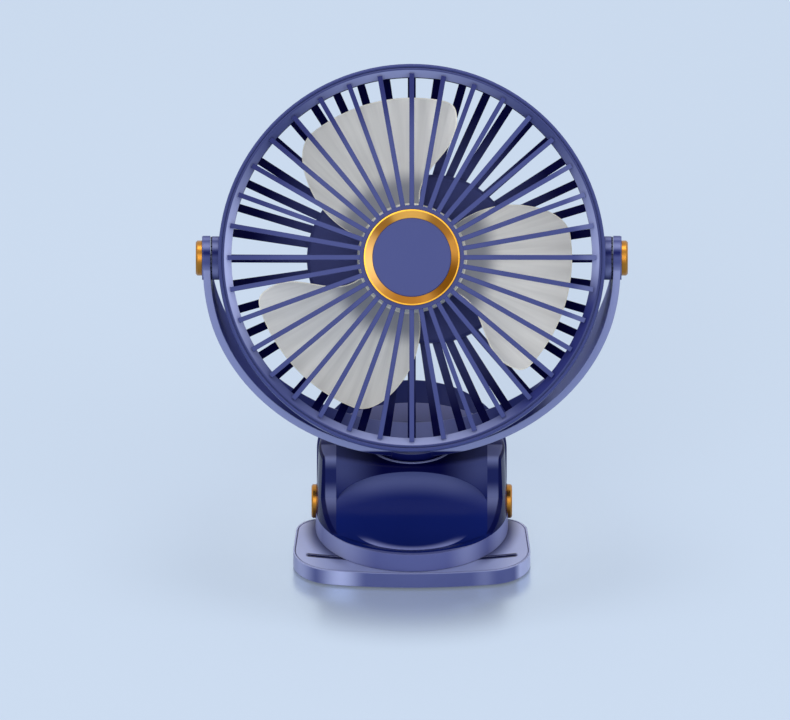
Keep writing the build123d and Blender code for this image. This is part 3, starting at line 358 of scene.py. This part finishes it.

# The deck on top with a painted highlight line round its collar, and the lip with its four painted
# upright sheens.
deck = blend_colours(tree, skin["Ripple"], deck_blue, deck_blue_pale)
on_deck = product(tree, ramp(tree, axes["Z"], deck_height, deck_height + 0.0010, False),
                  ramp(tree, axes["Y"], *deck_front))
body = blend_colours(tree, on_deck, face, deck)
collar_line = product(tree, ramp(tree, axes["Z"], collar_height, collar_height + 0.0002, False),
                      ramp(tree, from_middle, collar_radius, collar_radius + 0.0002, False))
body = blend_colours(tree, collar_line, body, collar_painted_highlight)
rim_start = maths(tree, "MULTIPLY_ADD", ramp(tree, aside, *lip_widening), lip_swell, lip_radius)
on_lip = product(tree, ramp(tree, axes["Z"], lip_top + 0.0002, lip_top, False),
                 ramp(tree, maths(tree, "SUBTRACT", from_middle, rim_start), 0.0, 0.0003, False))
lip = blend_colours(tree, skin["Ripple"], lip_blue, lip_blue_pale)
lip = blend_colours(tree, soft_bands(tree, axes["X"], lip_painted_sheen_bands), lip, lip_painted_sheen)
body = blend_colours(tree, on_lip, body, lip)

satin = maths(tree, "MAXIMUM", on_lip, on_deck)
edge_tone = blend_colours(tree, satin, gloss_edge, satin_edge)
gloss = between(tree, skin["Grain"], 0.14, 0.22)
surface(tree, shader, blend_colours(tree, skin["Edge"], body, edge_tone),
        maths(tree, "MULTIPLY_ADD", satin, satin_roughness, gloss), skin["Normal"])
shader["Specular IOR Level"].default_value = 0.03
paint(body_plastic, "clip_shell")

# ---- inner plastic: cover plate, bush, detent rings and button ----------------------------------------
# Dark blue moulded plastic with a fine spark-eroded grain that keeps it matt. The cover is screwed on
# from below, the bush is pressed in, and the rings sit in the pivots.
inner_blue = (0.010, 0.012, 0.040, 1)
inner_blue_pale = (0.022, 0.026, 0.075, 1)
inner_edge = (0.06, 0.07, 0.16, 1)
dark_plastic, tree, shader = new_material("dark_plastic")
skin = place_group(tree, skin_group, Edge_Radius=0.0002, Grain_Scale=3500.0, Grain_Height=0.25)
tone = blend_colours(tree, skin["Grain"], inner_blue, inner_blue_pale)
surface(tree, shader, blend_colours(tree, skin["Edge"], tone, inner_edge),
        between(tree, skin["Grain"], 0.45, 0.65), skin["Normal"])
paint(dark_plastic, "shell_cover", "swivel_bush", "power_button", "detent_rings")

# ---- gold caps of the hinge and the tilt pivots -------------------------------------------------------
# Turned aluminium, gold anodised, with faint lathe rings and brighter edges. Each cap is pressed on
# the end of its pin or screw.
cap_gold = (0.36, 0.150, 0.022, 1)
cap_gold_pale = (0.46, 0.210, 0.036, 1)
cap_edge = (0.72, 0.38, 0.08, 1)
gold, tree, shader = new_material("gold_caps")
skin = place_group(tree, skin_group, Edge_Radius=0.00025, Grain_Scale=5000.0, Grain_Height=0.03,
                   Ripple_Scale=400.0)
tone = blend_colours(tree, skin["Ripple"], cap_gold, cap_gold_pale)
surface(tree, shader, blend_colours(tree, skin["Edge"], tone, cap_edge),
        between(tree, skin["Ripple"], 0.26, 0.38), skin["Normal"])
shader["Metallic"].default_value = 1.0
paint(gold, "hinge_caps", "pivot_caps")

# ---- yoke ---------------------------------------------------------------------------------------------
# A bent band of the lavender blue plastic, moulded with its post. Its edges and the narrow faces of
# the band are painted pale as painted light. Its inner face carries painted light and shade: pale over
# the post, dark on both sides of it, and further out darker on the left and pale on the right. A deep
# blue neck turns in the body's collar.
pivot_height = 0.133
pivot_lean = 0.465
pivot_rise = 0.885
# Painted highlight and shade bands across the round sides of the pivots.
pivot_painted_highlight_bands = ((0.0079, 0.0011, 0.8), (0.0050, 0.0024, 1.0), (-0.0058, 0.0042, 0.9))
pivot_painted_shade_bands = ((0.0021, 0.0022, 1.0),)
painted_pivot_sheen, sheen_in, sheen_out = new_group(
    "painted_pivot_sheen", {"Centre Height": pivot_height}, {"Light": "Float", "Dark": "Float"})
axes = object_axes(painted_pivot_sheen)
over_pivot = maths(painted_pivot_sheen, "SUBTRACT", axes["Z"], sheen_in["Centre Height"])
up_round = maths(painted_pivot_sheen, "MULTIPLY_ADD", axes["Y"], pivot_lean,
                 maths(painted_pivot_sheen, "MULTIPLY", over_pivot, pivot_rise))
painted_pivot_sheen.links.new(soft_bands(painted_pivot_sheen, up_round, pivot_painted_highlight_bands), sheen_out["Light"])
painted_pivot_sheen.links.new(soft_bands(painted_pivot_sheen, up_round, pivot_painted_shade_bands), sheen_out["Dark"])

yoke_inner_radius = 0.0832
band_edge = 0.0125
band_taper = -0.1269
band_half_width = 0.0092
band_start = (0.080, 0.082)
band_top = (0.0005, -0.0015)
neck_radius = 0.0828
neck_top = 0.0500
pivot_radius = 0.0088
pivot_half_length = 0.0815
inside_top = (pivot_height - 0.0100, pivot_height - 0.0130)
inside_change = (0.0150, 0.0500)
inside_bottom_fade = (0.0020, 0.0420)
inside_low_fade = (0.0480, 0.0620)
inside_roughness = 0.65
yoke_blue = (0.066, 0.080, 0.235, 1)
yoke_blue_pale = (0.086, 0.102, 0.280, 1)
inside_left_painted_light = (0.098, 0.118, 0.450, 1)
inside_right_painted_light = (0.460, 0.500, 0.880, 1)
inside_bottom_painted_light = (0.235, 0.268, 0.580, 1)
inside_low_painted_shade = (0.020, 0.030, 0.200, 1)
edge_face_painted_light = (0.300, 0.335, 0.590, 1)
neck_blue = (0.0040, 0.0065, 0.085, 1)
pivot_painted_highlight = (0.215, 0.240, 0.470, 1)
pivot_painted_shade = (0.013, 0.017, 0.110, 1)
yoke_edge_painted_light = (0.150, 0.168, 0.38, 1)

yoke_plastic, tree, shader = new_material("yoke_plastic")
skin = place_group(tree, skin_group, Edge_Radius=0.0004, Grain_Scale=2000.0, Grain_Height=0.05,
                   Ripple_Scale=40.0)
axes = object_axes(tree)
aside = maths(tree, "ABSOLUTE", axes["X"])
below = maths(tree, "SUBTRACT", axes["Z"], pivot_height)
bend = distance_of(tree, axes["X"], below)

outside = blend_colours(tree, skin["Ripple"], yoke_blue, yoke_blue_pale)
# The inner face's tones are painted light and painted shade.
inside = blend_colours(tree, ramp(tree, axes["X"], *inside_change), inside_left_painted_light, inside_right_painted_light)
low_inside = blend_colours(tree, ramp(tree, aside, *inside_bottom_fade), inside_bottom_painted_light, inside_low_painted_shade)
inside = blend_colours(tree, ramp(tree, aside, *inside_low_fade), low_inside, inside)
inner_face = product(tree, ramp(tree, bend, yoke_inner_radius + 0.0003, yoke_inner_radius + 0.0001, False),
                     ramp(tree, axes["Z"], *inside_top))
body = blend_colours(tree, inner_face, outside, inside)

half_width = maths(tree, "MINIMUM", band_edge,
                   maths(tree, "MULTIPLY_ADD", below, band_taper, band_half_width))
past_edge = maths(tree, "SUBTRACT", maths(tree, "ABSOLUTE", axes["Y"]), half_width)
edge_face = product(tree, ramp(tree, past_edge, -0.0004, -0.0002, False), ramp(tree, bend, *band_start),
                    ramp(tree, below, *band_top))
body = blend_colours(tree, edge_face, body, edge_face_painted_light)
neck = product(tree, ramp(tree, bend, neck_radius, neck_radius + 0.0004, False),
               ramp(tree, axes["Z"], neck_top, neck_top - 0.0010))
body = blend_colours(tree, neck, body, neck_blue)

# The round sides of the pivots, between the two end faces of each boss, carry painted highlight and
# shade bands.
from_pivot = distance_of(tree, axes["Y"], below)
round_side = product(tree, ramp(tree, from_pivot, pivot_radius - 0.0003, pivot_radius, False),
                     ramp(tree, from_pivot, pivot_radius + 0.0006, pivot_radius + 0.0004, False),
                     ramp(tree, aside, pivot_half_length, pivot_half_length + 0.0005, False))
sheen = place_group(tree, painted_pivot_sheen)
pivot_side = blend_colours(tree, sheen["Light"], outside, pivot_painted_highlight)
pivot_side = blend_colours(tree, sheen["Dark"], pivot_side, pivot_painted_shade)
body = blend_colours(tree, round_side, body, pivot_side)

polish = between(tree, skin["Grain"], 0.30, 0.42)
surface(tree, shader, blend_colours(tree, skin["Edge"], body, yoke_edge_painted_light),
        maths(tree, "MAXIMUM", polish, maths(tree, "MULTIPLY", inner_face, inside_roughness)),
        skin["Normal"])
shader["Specular IOR Level"].default_value = 0.03
paint(yoke_plastic, "yoke_arm")

# ---- rear grille and housing ---------------------------------------------------------------------------
# One moulding of shroud, rear bars and motor housing, which hangs between the pivots. The shroud is as
# blue as the yoke; the bars and the housing stand deep in the cage, and the bars are painted dark
# towards the shroud as painted shade. The pivot bosses carry painted highlight and shade bands.
head_tilt = math.radians(28.5)
head_zone, zone_in, zone_out = new_group(
    "head_zone", {"Tilt Height": pivot_height},
    {"Radius": "Float", "Depth": "Float", "Angle": "Float"})
zone_place = put(head_zone, "VectorMath", {"operation": "SUBTRACT"},
                 i0=put(head_zone, "TexCoord").outputs["Object"],
                 i1=put(head_zone, "CombineXYZ", None, Z=zone_in["Tilt Height"]).outputs["Vector"])
facing_up = put(head_zone, "Mapping", None, Vector=zone_place.outputs["Vector"],
                Rotation=(head_tilt - math.pi / 2, 0, 0)).outputs["Vector"]
across = put(head_zone, "SeparateXYZ", None, Vector=facing_up).outputs
spread = put(head_zone, "CombineXYZ", None, X=across["X"], Y=across["Y"]).outputs["Vector"]
head_zone.links.new(put(head_zone, "VectorMath", {"operation": "LENGTH"}, i0=spread).outputs["Value"],
                    zone_out["Radius"])
head_zone.links.new(across["Z"], zone_out["Depth"])
head_zone.links.new(maths(head_zone, "ARCTAN2", across["Y"], across["X"]), zone_out["Angle"])

shroud_radius = 0.0778
rear_bar_shade_fade = (0.066, 0.040)
boss_start = 0.0798
boss_end = 0.0831
rear_bar_painted_shade = (0.001, 0.0015, 0.060, 1)
rear_bar_pale = (0.062, 0.074, 0.235, 1)
shroud_blue = (0.058, 0.070, 0.215, 1)
shroud_blue_pale = (0.070, 0.084, 0.245, 1)

rear_plastic, tree, shader = new_material("rear_plastic")
skin = place_group(tree, skin_group, Edge_Radius=0.0004, Grain_Scale=2000.0, Grain_Height=0.05,
                   Ripple_Scale=40.0)
zone = place_group(tree, head_zone)
# The bars are painted dark towards the shroud as painted shade.
inward = ramp(tree, zone["Radius"], *rear_bar_shade_fade, False)
bars = blend_colours(tree, inward, rear_bar_painted_shade, rear_bar_pale)
outside = blend_colours(tree, skin["Ripple"], shroud_blue, shroud_blue_pale)
shroud = ramp(tree, zone["Radius"], shroud_radius, shroud_radius + 0.0004, False)
body = blend_colours(tree, shroud, bars, outside)
# The pivot bosses carry painted highlight and shade bands.
from_side = maths(tree, "ABSOLUTE", object_axes(tree)["X"])
on_boss = product(tree, ramp(tree, from_side, boss_start, boss_start + 0.0003, False),
                  ramp(tree, from_side, boss_end, boss_end - 0.0003, False))
sheen = place_group(tree, painted_pivot_sheen)
boss = blend_colours(tree, sheen["Light"], outside, pivot_painted_highlight)
boss = blend_colours(tree, sheen["Dark"], boss, pivot_painted_shade)
surface(tree, shader, blend_colours(tree, on_boss, body, boss),
        between(tree, skin["Grain"], 0.30, 0.42), skin["Normal"])
shader["Specular IOR Level"].default_value = 0.05
paint(rear_plastic, "rear_grille")

# ---- inside the housing: cell, board, lights and brass inserts ---------------------------------------
# A cell in a shrunk sleeve, a printed board with a green mask, four clear light guides in the cover,
# and knurled brass inserts that are pressed into the bosses.
rough_spread = 0.15
for name, first, second, rough, metal, members in (
        ("cell_wrap", (0.02, 0.16, 0.07, 1), (0.03, 0.20, 0.10, 1), 0.3, 0.0, ("battery_cell",)),
        ("board_mask", (0.01, 0.09, 0.03, 1), (0.02, 0.16, 0.06, 1), 0.35, 0.0, ("control_board",)),
        ("light_guide", (0.70, 0.78, 0.88, 1), (0.80, 0.88, 0.96, 1), 0.2, 0.0, ("indicator_lenses",)),
        ("insert_brass", (0.60, 0.42, 0.14, 1), (0.70, 0.50, 0.20, 1), 0.3, 1.0, ("boss_inserts",))):
    inner, tree, shader = new_material(name)
    skin = place_group(tree, skin_group, Edge_Radius=0.00015, Grain_Scale=2500.0, Grain_Height=0.05,
                       Ripple_Scale=300.0)
    surface(tree, shader, blend_colours(tree, skin["Ripple"], first, second),
            between(tree, skin["Grain"], rough, rough + rough_spread), skin["Normal"])
    shader["Metallic"].default_value = metal
    paint(inner, *members)

# ---- rear cover and centre disc -----------------------------------------------------------------------
# The same lavender blue plastic, satin, with soft flow marks and slightly lighter edges. The cover is
# screwed to the housing, and the disc lies inside the gold ring of the front hub.
disc_blue = (0.063, 0.077, 0.232, 1)
disc_blue_pale = (0.071, 0.086, 0.250, 1)
disc_edge = (0.110, 0.128, 0.33, 1)
shell_plastic, tree, shader = new_material("shell_plastic")
skin = place_group(tree, skin_group, Edge_Radius=0.0004, Grain_Scale=2000.0, Grain_Height=0.05,
                   Ripple_Scale=40.0)
body = blend_colours(tree, skin["Ripple"], disc_blue, disc_blue_pale)
surface(tree, shader, blend_colours(tree, skin["Edge"], body, disc_edge),
        between(tree, skin["Grain"], 0.32, 0.44), skin["Normal"])
shader["Specular IOR Level"].default_value = 0.12
paint(shell_plastic, "hub_disc", "rear_cover")

# ---- blades -------------------------------------------------------------------------------------------
# Hub cup and three blades in one moulding of light grey plastic, pressed on the motor's shaft. It is
# thin and slightly milky, with flow lines running out from the hub. Its roots are painted grey as
# painted shade, and its thin rim is painted cream as a painted highlight and glows weakly as painted
# light.
streaks_round = 9.0
streaks_outwards = 12.0
streak_contrast = (0.3, 0.7)
root_shade_fade = (0.038, 0.029)
hub_radius = 0.0224
outline_fade = (0.06, 0.45)
milky_grey = (0.80, 0.79, 0.75, 1)
milky_white = (1.0, 0.99, 0.94, 1)
root_painted_shade = (0.33, 0.34, 0.38, 1)
hub_cream = (1.0, 1.0, 0.90, 1)
rim_painted_highlight = (1.0, 0.98, 0.86, 1)
no_light = (0.0, 0.0, 0.0, 1)
painted_rim_glow = (1.0, 0.95, 0.80, 1)

blade_plastic, tree, shader = new_material("blade_plastic")
skin = place_group(tree, skin_group, Edge_Radius=0.0010, Grain_Scale=1500.0, Grain_Height=0.04,
                   Ripple_Scale=50.0)
zone = place_group(tree, head_zone)
streaked = put(tree, "CombineXYZ", None, X=maths(tree, "MULTIPLY", zone["Angle"], streaks_round),
               Y=maths(tree, "MULTIPLY", zone["Radius"], streaks_outwards)).outputs["Vector"]
streaks = put(tree, "TexNoise", None, Vector=streaked, Scale=1.6, Detail=3.0, Roughness=0.5).outputs["Fac"]
milky = blend_colours(tree, ramp(tree, streaks, *streak_contrast, False), milky_grey, milky_white)
# The roots are painted grey as painted shade.
tone = blend_colours(tree, ramp(tree, zone["Radius"], *root_shade_fade), milky, root_painted_shade)
on_hub = ramp(tree, zone["Radius"], hub_radius + 0.0003, hub_radius, False)
tone = blend_colours(tree, on_hub, tone, hub_cream)
# The thin rim is painted cream as a painted highlight and glows weakly as painted light.
outline = ramp(tree, skin["Edge"], *outline_fade)
surface(tree, shader, blend_colours(tree, outline, tone, rim_painted_highlight),
        between(tree, skin["Grain"], 0.30, 0.45), skin["Normal"])
tree.links.new(blend_colours(tree, outline, no_light, painted_rim_glow), shader["Emission Color"])
shader["Emission Strength"].default_value = 0.25
paint(blade_plastic, "impeller")

# ---- front grille ---------------------------------------------------------------------------------------
# One moulding that closes the shroud: a hub, 36 bars with sides painted dark as painted shade, and a
# ring whose bevel carries painted sheens and painted shade as it goes round. Angles are in radians,
# anticlockwise from the right.
ring_radius = 0.0745
ring_depth = 0.0126
ring_slope = 0.7164
ring_front_end = 0.0152
ring_step = 0.0116
rim_radius = 0.0774
tip_radius = 0.0766
shaded_angle = 2.10
shaded_spread = (0.25, 0.85)
shaded_length = (0.0480, 0.0700)
pale_angle = 0.05
pale_spread = (0.80, 0.97)
pale_length = (0.0665, 0.0735)
sheen_count = 4.0
sheen_turn = -0.12
side_sheen = 0.17
plain_sheen = 0.68
right_sheen = -0.13
dark_arc_angle = -0.56
dark_arc_spread = (0.86, 0.97)
bar_blue = (0.058, 0.072, 0.228, 1)
bar_blue_pale = (0.068, 0.083, 0.250, 1)
bar_side_painted_shade = (0.026, 0.032, 0.135, 1)
bar_end_painted_shade = (0.024, 0.030, 0.145, 1)
bar_tip_painted_light = (0.125, 0.145, 0.330, 1)
bevel_blue = (0.060, 0.073, 0.210, 1)
bevel_painted_sheen = (0.450, 0.495, 0.820, 1)
bevel_painted_shade = (0.020, 0.026, 0.150, 1)
step_shade = (0.005, 0.006, 0.046, 1)
ring_rim_blue = (0.055, 0.066, 0.200, 1)


def turned_to(tree, angle, centre):
    """The cosine of the way round the head from a centre angle: 1 there, and -1 opposite it."""
    return maths(tree, "COSINE", maths(tree, "SUBTRACT", angle, centre))


grille_plastic, tree, shader = new_material("grille_plastic")
skin = place_group(tree, skin_group, Edge_Radius=0.0003, Grain_Scale=2000.0, Grain_Height=0.05,
                   Ripple_Scale=40.0)
zone = place_group(tree, head_zone)

# The bars: their sides painted dark as painted shade, painted darker towards their ends at the upper
# left as painted shade, and paler at their tips on the right as painted light.
bars = blend_colours(tree, skin["Ripple"], bar_blue, bar_blue_pale)
bars = blend_colours(tree, skin["Edge"], bars, bar_side_painted_shade)
upper_left = ramp(tree, turned_to(tree, zone["Angle"], shaded_angle), *shaded_spread)
bars = blend_colours(tree, product(tree, ramp(tree, zone["Radius"], *shaded_length), upper_left), bars,
                     bar_end_painted_shade)
right = ramp(tree, turned_to(tree, zone["Angle"], pale_angle), *pale_spread)
bars = blend_colours(tree, product(tree, ramp(tree, zone["Radius"], *pale_length), right), bars,
                     bar_tip_painted_light)

# The bevel: four painted sheens, stronger at the sides and on the left, one dark arc of painted shade
# at the lower right, and a painted line of shade at its step.
four_painted_sheens = maths(tree, "MULTIPLY_ADD", maths(tree, "COSINE", maths(
    tree, "MULTIPLY_ADD", zone["Angle"], sheen_count, sheen_turn)), 0.5, 0.5)
at_sides = maths(tree, "MULTIPLY_ADD", maths(tree, "COSINE", maths(
    tree, "MULTIPLY", zone["Angle"], 2.0)), side_sheen, plain_sheen)
to_left = maths(tree, "MULTIPLY_ADD", maths(tree, "COSINE", zone["Angle"]), right_sheen, at_sides)
bevel = blend_colours(tree, product(tree, four_painted_sheens, to_left), bevel_blue, bevel_painted_sheen)
lower_right = ramp(tree, turned_to(tree, zone["Angle"], dark_arc_angle), *dark_arc_spread)
bevel = blend_colours(tree, lower_right, bevel, bevel_painted_shade)
bevel = blend_colours(tree, ramp(tree, zone["Depth"], ring_step + 0.0004, ring_step, False), bevel,
                      step_shade)
outermost = ramp(tree, zone["Radius"], rim_radius, rim_radius + 0.0002, False)
rim = blend_colours(tree, outermost, bevel, ring_rim_blue)

# The bars' tips lie on the bevel, and the rest of the ring lies outside them.
ring_front = maths(tree, "MULTIPLY_ADD", maths(tree, "SUBTRACT", zone["Radius"], ring_radius), ring_slope,
                   ring_depth)
above_ring = maths(tree, "SUBTRACT", zone["Depth"], ring_front)
bar_tip = product(tree, ramp(tree, above_ring, 0.0001, 0.0002, False),
                  ramp(tree, zone["Radius"], tip_radius + 0.0001, tip_radius, False))
rim = blend_colours(tree, bar_tip, rim, bars)
on_ring = product(tree, ramp(tree, zone["Radius"], ring_radius - 0.0001, ring_radius, False),
                  ramp(tree, zone["Depth"], ring_front_end, ring_front_end - 0.0001, False))
surface(tree, shader, blend_colours(tree, on_ring, bars, rim),
        between(tree, skin["Grain"], 0.32, 0.44), skin["Normal"])
shader["Specular IOR Level"].default_value = 0.10
paint(grille_plastic, "front_grille")

# ---- gold ring in the front hub -------------------------------------------------------------------------
# A turned and anodised aluminium ring, pressed into the hub: a thin bright rim round a conical face
# whose painted reflections shift from pale gold to deep amber as it goes round.
ring_rim_radius = 0.01925
ring_gold_tone = (0.50, 0.225, 0.038, 1)
ring_gold_pale = (0.60, 0.28, 0.055, 1)
ring_rim_gold = (0.95, 0.50, 0.055, 1)
painted_reflection_shifts = ((1.62, 0.55, (1.0, 0.50, 0.095, 1)),        # middle and half width in radians, colour
                 (0.80, 0.45, (0.40, 0.165, 0.026, 1)),
                 (2.36, 0.38, (0.40, 0.165, 0.026, 1)),
                 (3.25, 0.85, (0.78, 0.44, 0.140, 1)),
                 (4.60, 0.60, (0.36, 0.145, 0.020, 1)),
                 (5.72, 0.75, (0.17, 0.062, 0.005, 1)))
ring_gold, tree, shader = new_material("ring_gold")
skin = place_group(tree, skin_group, Edge_Radius=0.00015, Grain_Scale=5000.0, Grain_Height=0.02,
                   Ripple_Scale=300.0)
zone = place_group(tree, head_zone)
tone = blend_colours(tree, skin["Ripple"], ring_gold_tone, ring_gold_pale)
# Painted reflections, each in its arc round the conical face.
for centre, half_width, shade in painted_reflection_shifts:
    turn = turned_to(tree, zone["Angle"], centre)
    tone = blend_colours(tree, ramp(tree, turn, math.cos(half_width), 1.0), tone, shade)
on_rim = ramp(tree, zone["Radius"], ring_rim_radius, ring_rim_radius + 0.00007, False)
surface(tree, shader, blend_colours(tree, on_rim, tone, ring_rim_gold),
        between(tree, skin["Ripple"], 0.30, 0.40), skin["Normal"])
shader["Metallic"].default_value = 1.0
paint(ring_gold, "hub_trim_ring")

# ---- table ---------------------------------------------------------------------------------------------
# A plain pale blue table. It is matt, apart from a soft polish round the foot, and it is as pale as
# the room to the lens and in reflections.
room_colour = (0.5972, 0.7011, 0.8469, 1)
table_size = 12.0
own_light = 0.5
polish_fade = (0.098, 0.052)
polish_strength = 0.60
bpy.ops.object.select_all(action="DESELECT")
bpy.ops.mesh.primitive_plane_add(size=table_size, location=(0, 0, 0))
table = bpy.context.object
table.name = "table"
table_paint, tree, shader = new_material("table_paint")
shader["Base Color"].default_value = room_colour
shader["Roughness"].default_value = 0.8
shader["Specular IOR Level"].default_value = 0.0
rays = put(tree, "LightPath").outputs
seen = maths(tree, "MAXIMUM", rays["Is Camera Ray"], rays["Is Glossy Ray"])
glow = put(tree, "Emission", None, Color=room_colour, Strength=1.0).outputs["Emission"]
lit = put(tree, "MixShader", None, i0=maths(tree, "MULTIPLY", seen, own_light),
          i1=tree.nodes["Principled BSDF"].outputs["BSDF"], i2=glow).outputs["Shader"]
polish = put(tree, "BsdfGlossy", None, Color=room_colour, Roughness=0.25).outputs["BSDF"]
axes = object_axes(tree)
away = distance_of(tree, axes["X"], axes["Y"])
polished = maths(tree, "MULTIPLY", ramp(tree, away, *polish_fade), polish_strength)
mixed = put(tree, "MixShader", None, i0=polished, i1=lit, i2=polish).outputs["Shader"]
tree.links.new(mixed, tree.nodes["Material Output"].inputs["Surface"])
table.data.materials.append(table_paint)

# ---- studio light ------------------------------------------------------------------------------------
# An even white room, a large soft key from the upper left, a fill from the right, and a soft box
# over the fan.
room_for_pieces = 0.62
room_for_lens = 1.0
room_daylight = (0.95, 0.97, 1.0, 1)
room_white = (1.0, 1.0, 1.0, 1)
world = bpy.data.worlds.new("room")
bpy.context.scene.world = world
world.use_nodes = True
tree = world.node_tree
background = tree.nodes["Background"].inputs
rays = put(tree, "LightPath").outputs
seen = maths(tree, "MAXIMUM", rays["Is Camera Ray"], rays["Is Glossy Ray"])
tree.links.new(between(tree, seen, room_for_pieces, room_for_lens), background["Strength"])
tree.links.new(blend_colours(tree, seen, room_daylight, room_white), background["Color"])


def soft_light(name, position, target, width, height, power):
    """A rectangular soft box that faces its target."""
    data = bpy.data.lights.new(name, "AREA")
    data.shape = "RECTANGLE"
    data.size = width
    data.size_y = height
    data.energy = power
    lamp = bpy.data.objects.new(name, data)
    bpy.context.scene.collection.objects.link(lamp)
    lamp.location = position
    direction = [target[i] - position[i] for i in range(3)]
    flat = math.hypot(direction[0], direction[1])
    lamp.rotation_euler = (math.atan2(flat, -direction[2]), 0,
                           math.atan2(direction[1], direction[0]) - math.pi / 2)


pivot = (0.0, 0.0, pivot_height)
soft_light("key_light", (-0.5, -1.9, 1.4), pivot, 1.4, 1.4, 14.0)
soft_light("fill_light", (1.6, -1.0, 0.8), pivot, 0.6, 1.2, 4.0)
soft_light("top_light", (0.0, 0.3, 1.9), pivot, 1.4, 0.7, 12.5)
bpy.context.scene.view_settings.view_transform = "Standard"

# ---- camera ---------------------------------------------------------------------------------------
# A lens with a parallel view, in line with the fan's middle plane and looking down on it. It looks a
# little below the tilt pivots, so that the fan stands above the middle of the view.
elevation = math.radians(27.7)
shift_right = -0.00693
shift_up = -0.0421
distance = 3.0
field_width = 0.3262
sight = (0.0, -math.cos(elevation), math.sin(elevation))     # from the fan towards the lens
upwards = (0.0, math.sin(elevation), math.cos(elevation))
look_at = [pivot[i] + (shift_right, 0, 0)[i] + upwards[i] * shift_up for i in range(3)]
lens_data = bpy.data.cameras.new("lens")
lens_data.type = "ORTHO"
lens_data.ortho_scale = field_width
camera = bpy.data.objects.new("camera", lens_data)
camera.location = [look_at[i] + sight[i] * distance for i in range(3)]
camera.rotation_euler = (math.pi / 2 - elevation, 0, 0)
bpy.context.scene.collection.objects.link(camera)
bpy.context.scene.camera = camera

# ---- scene update ----------------------------------------------------------------------------------
# The scene is brought up to date.
bpy.context.view_layer.update()
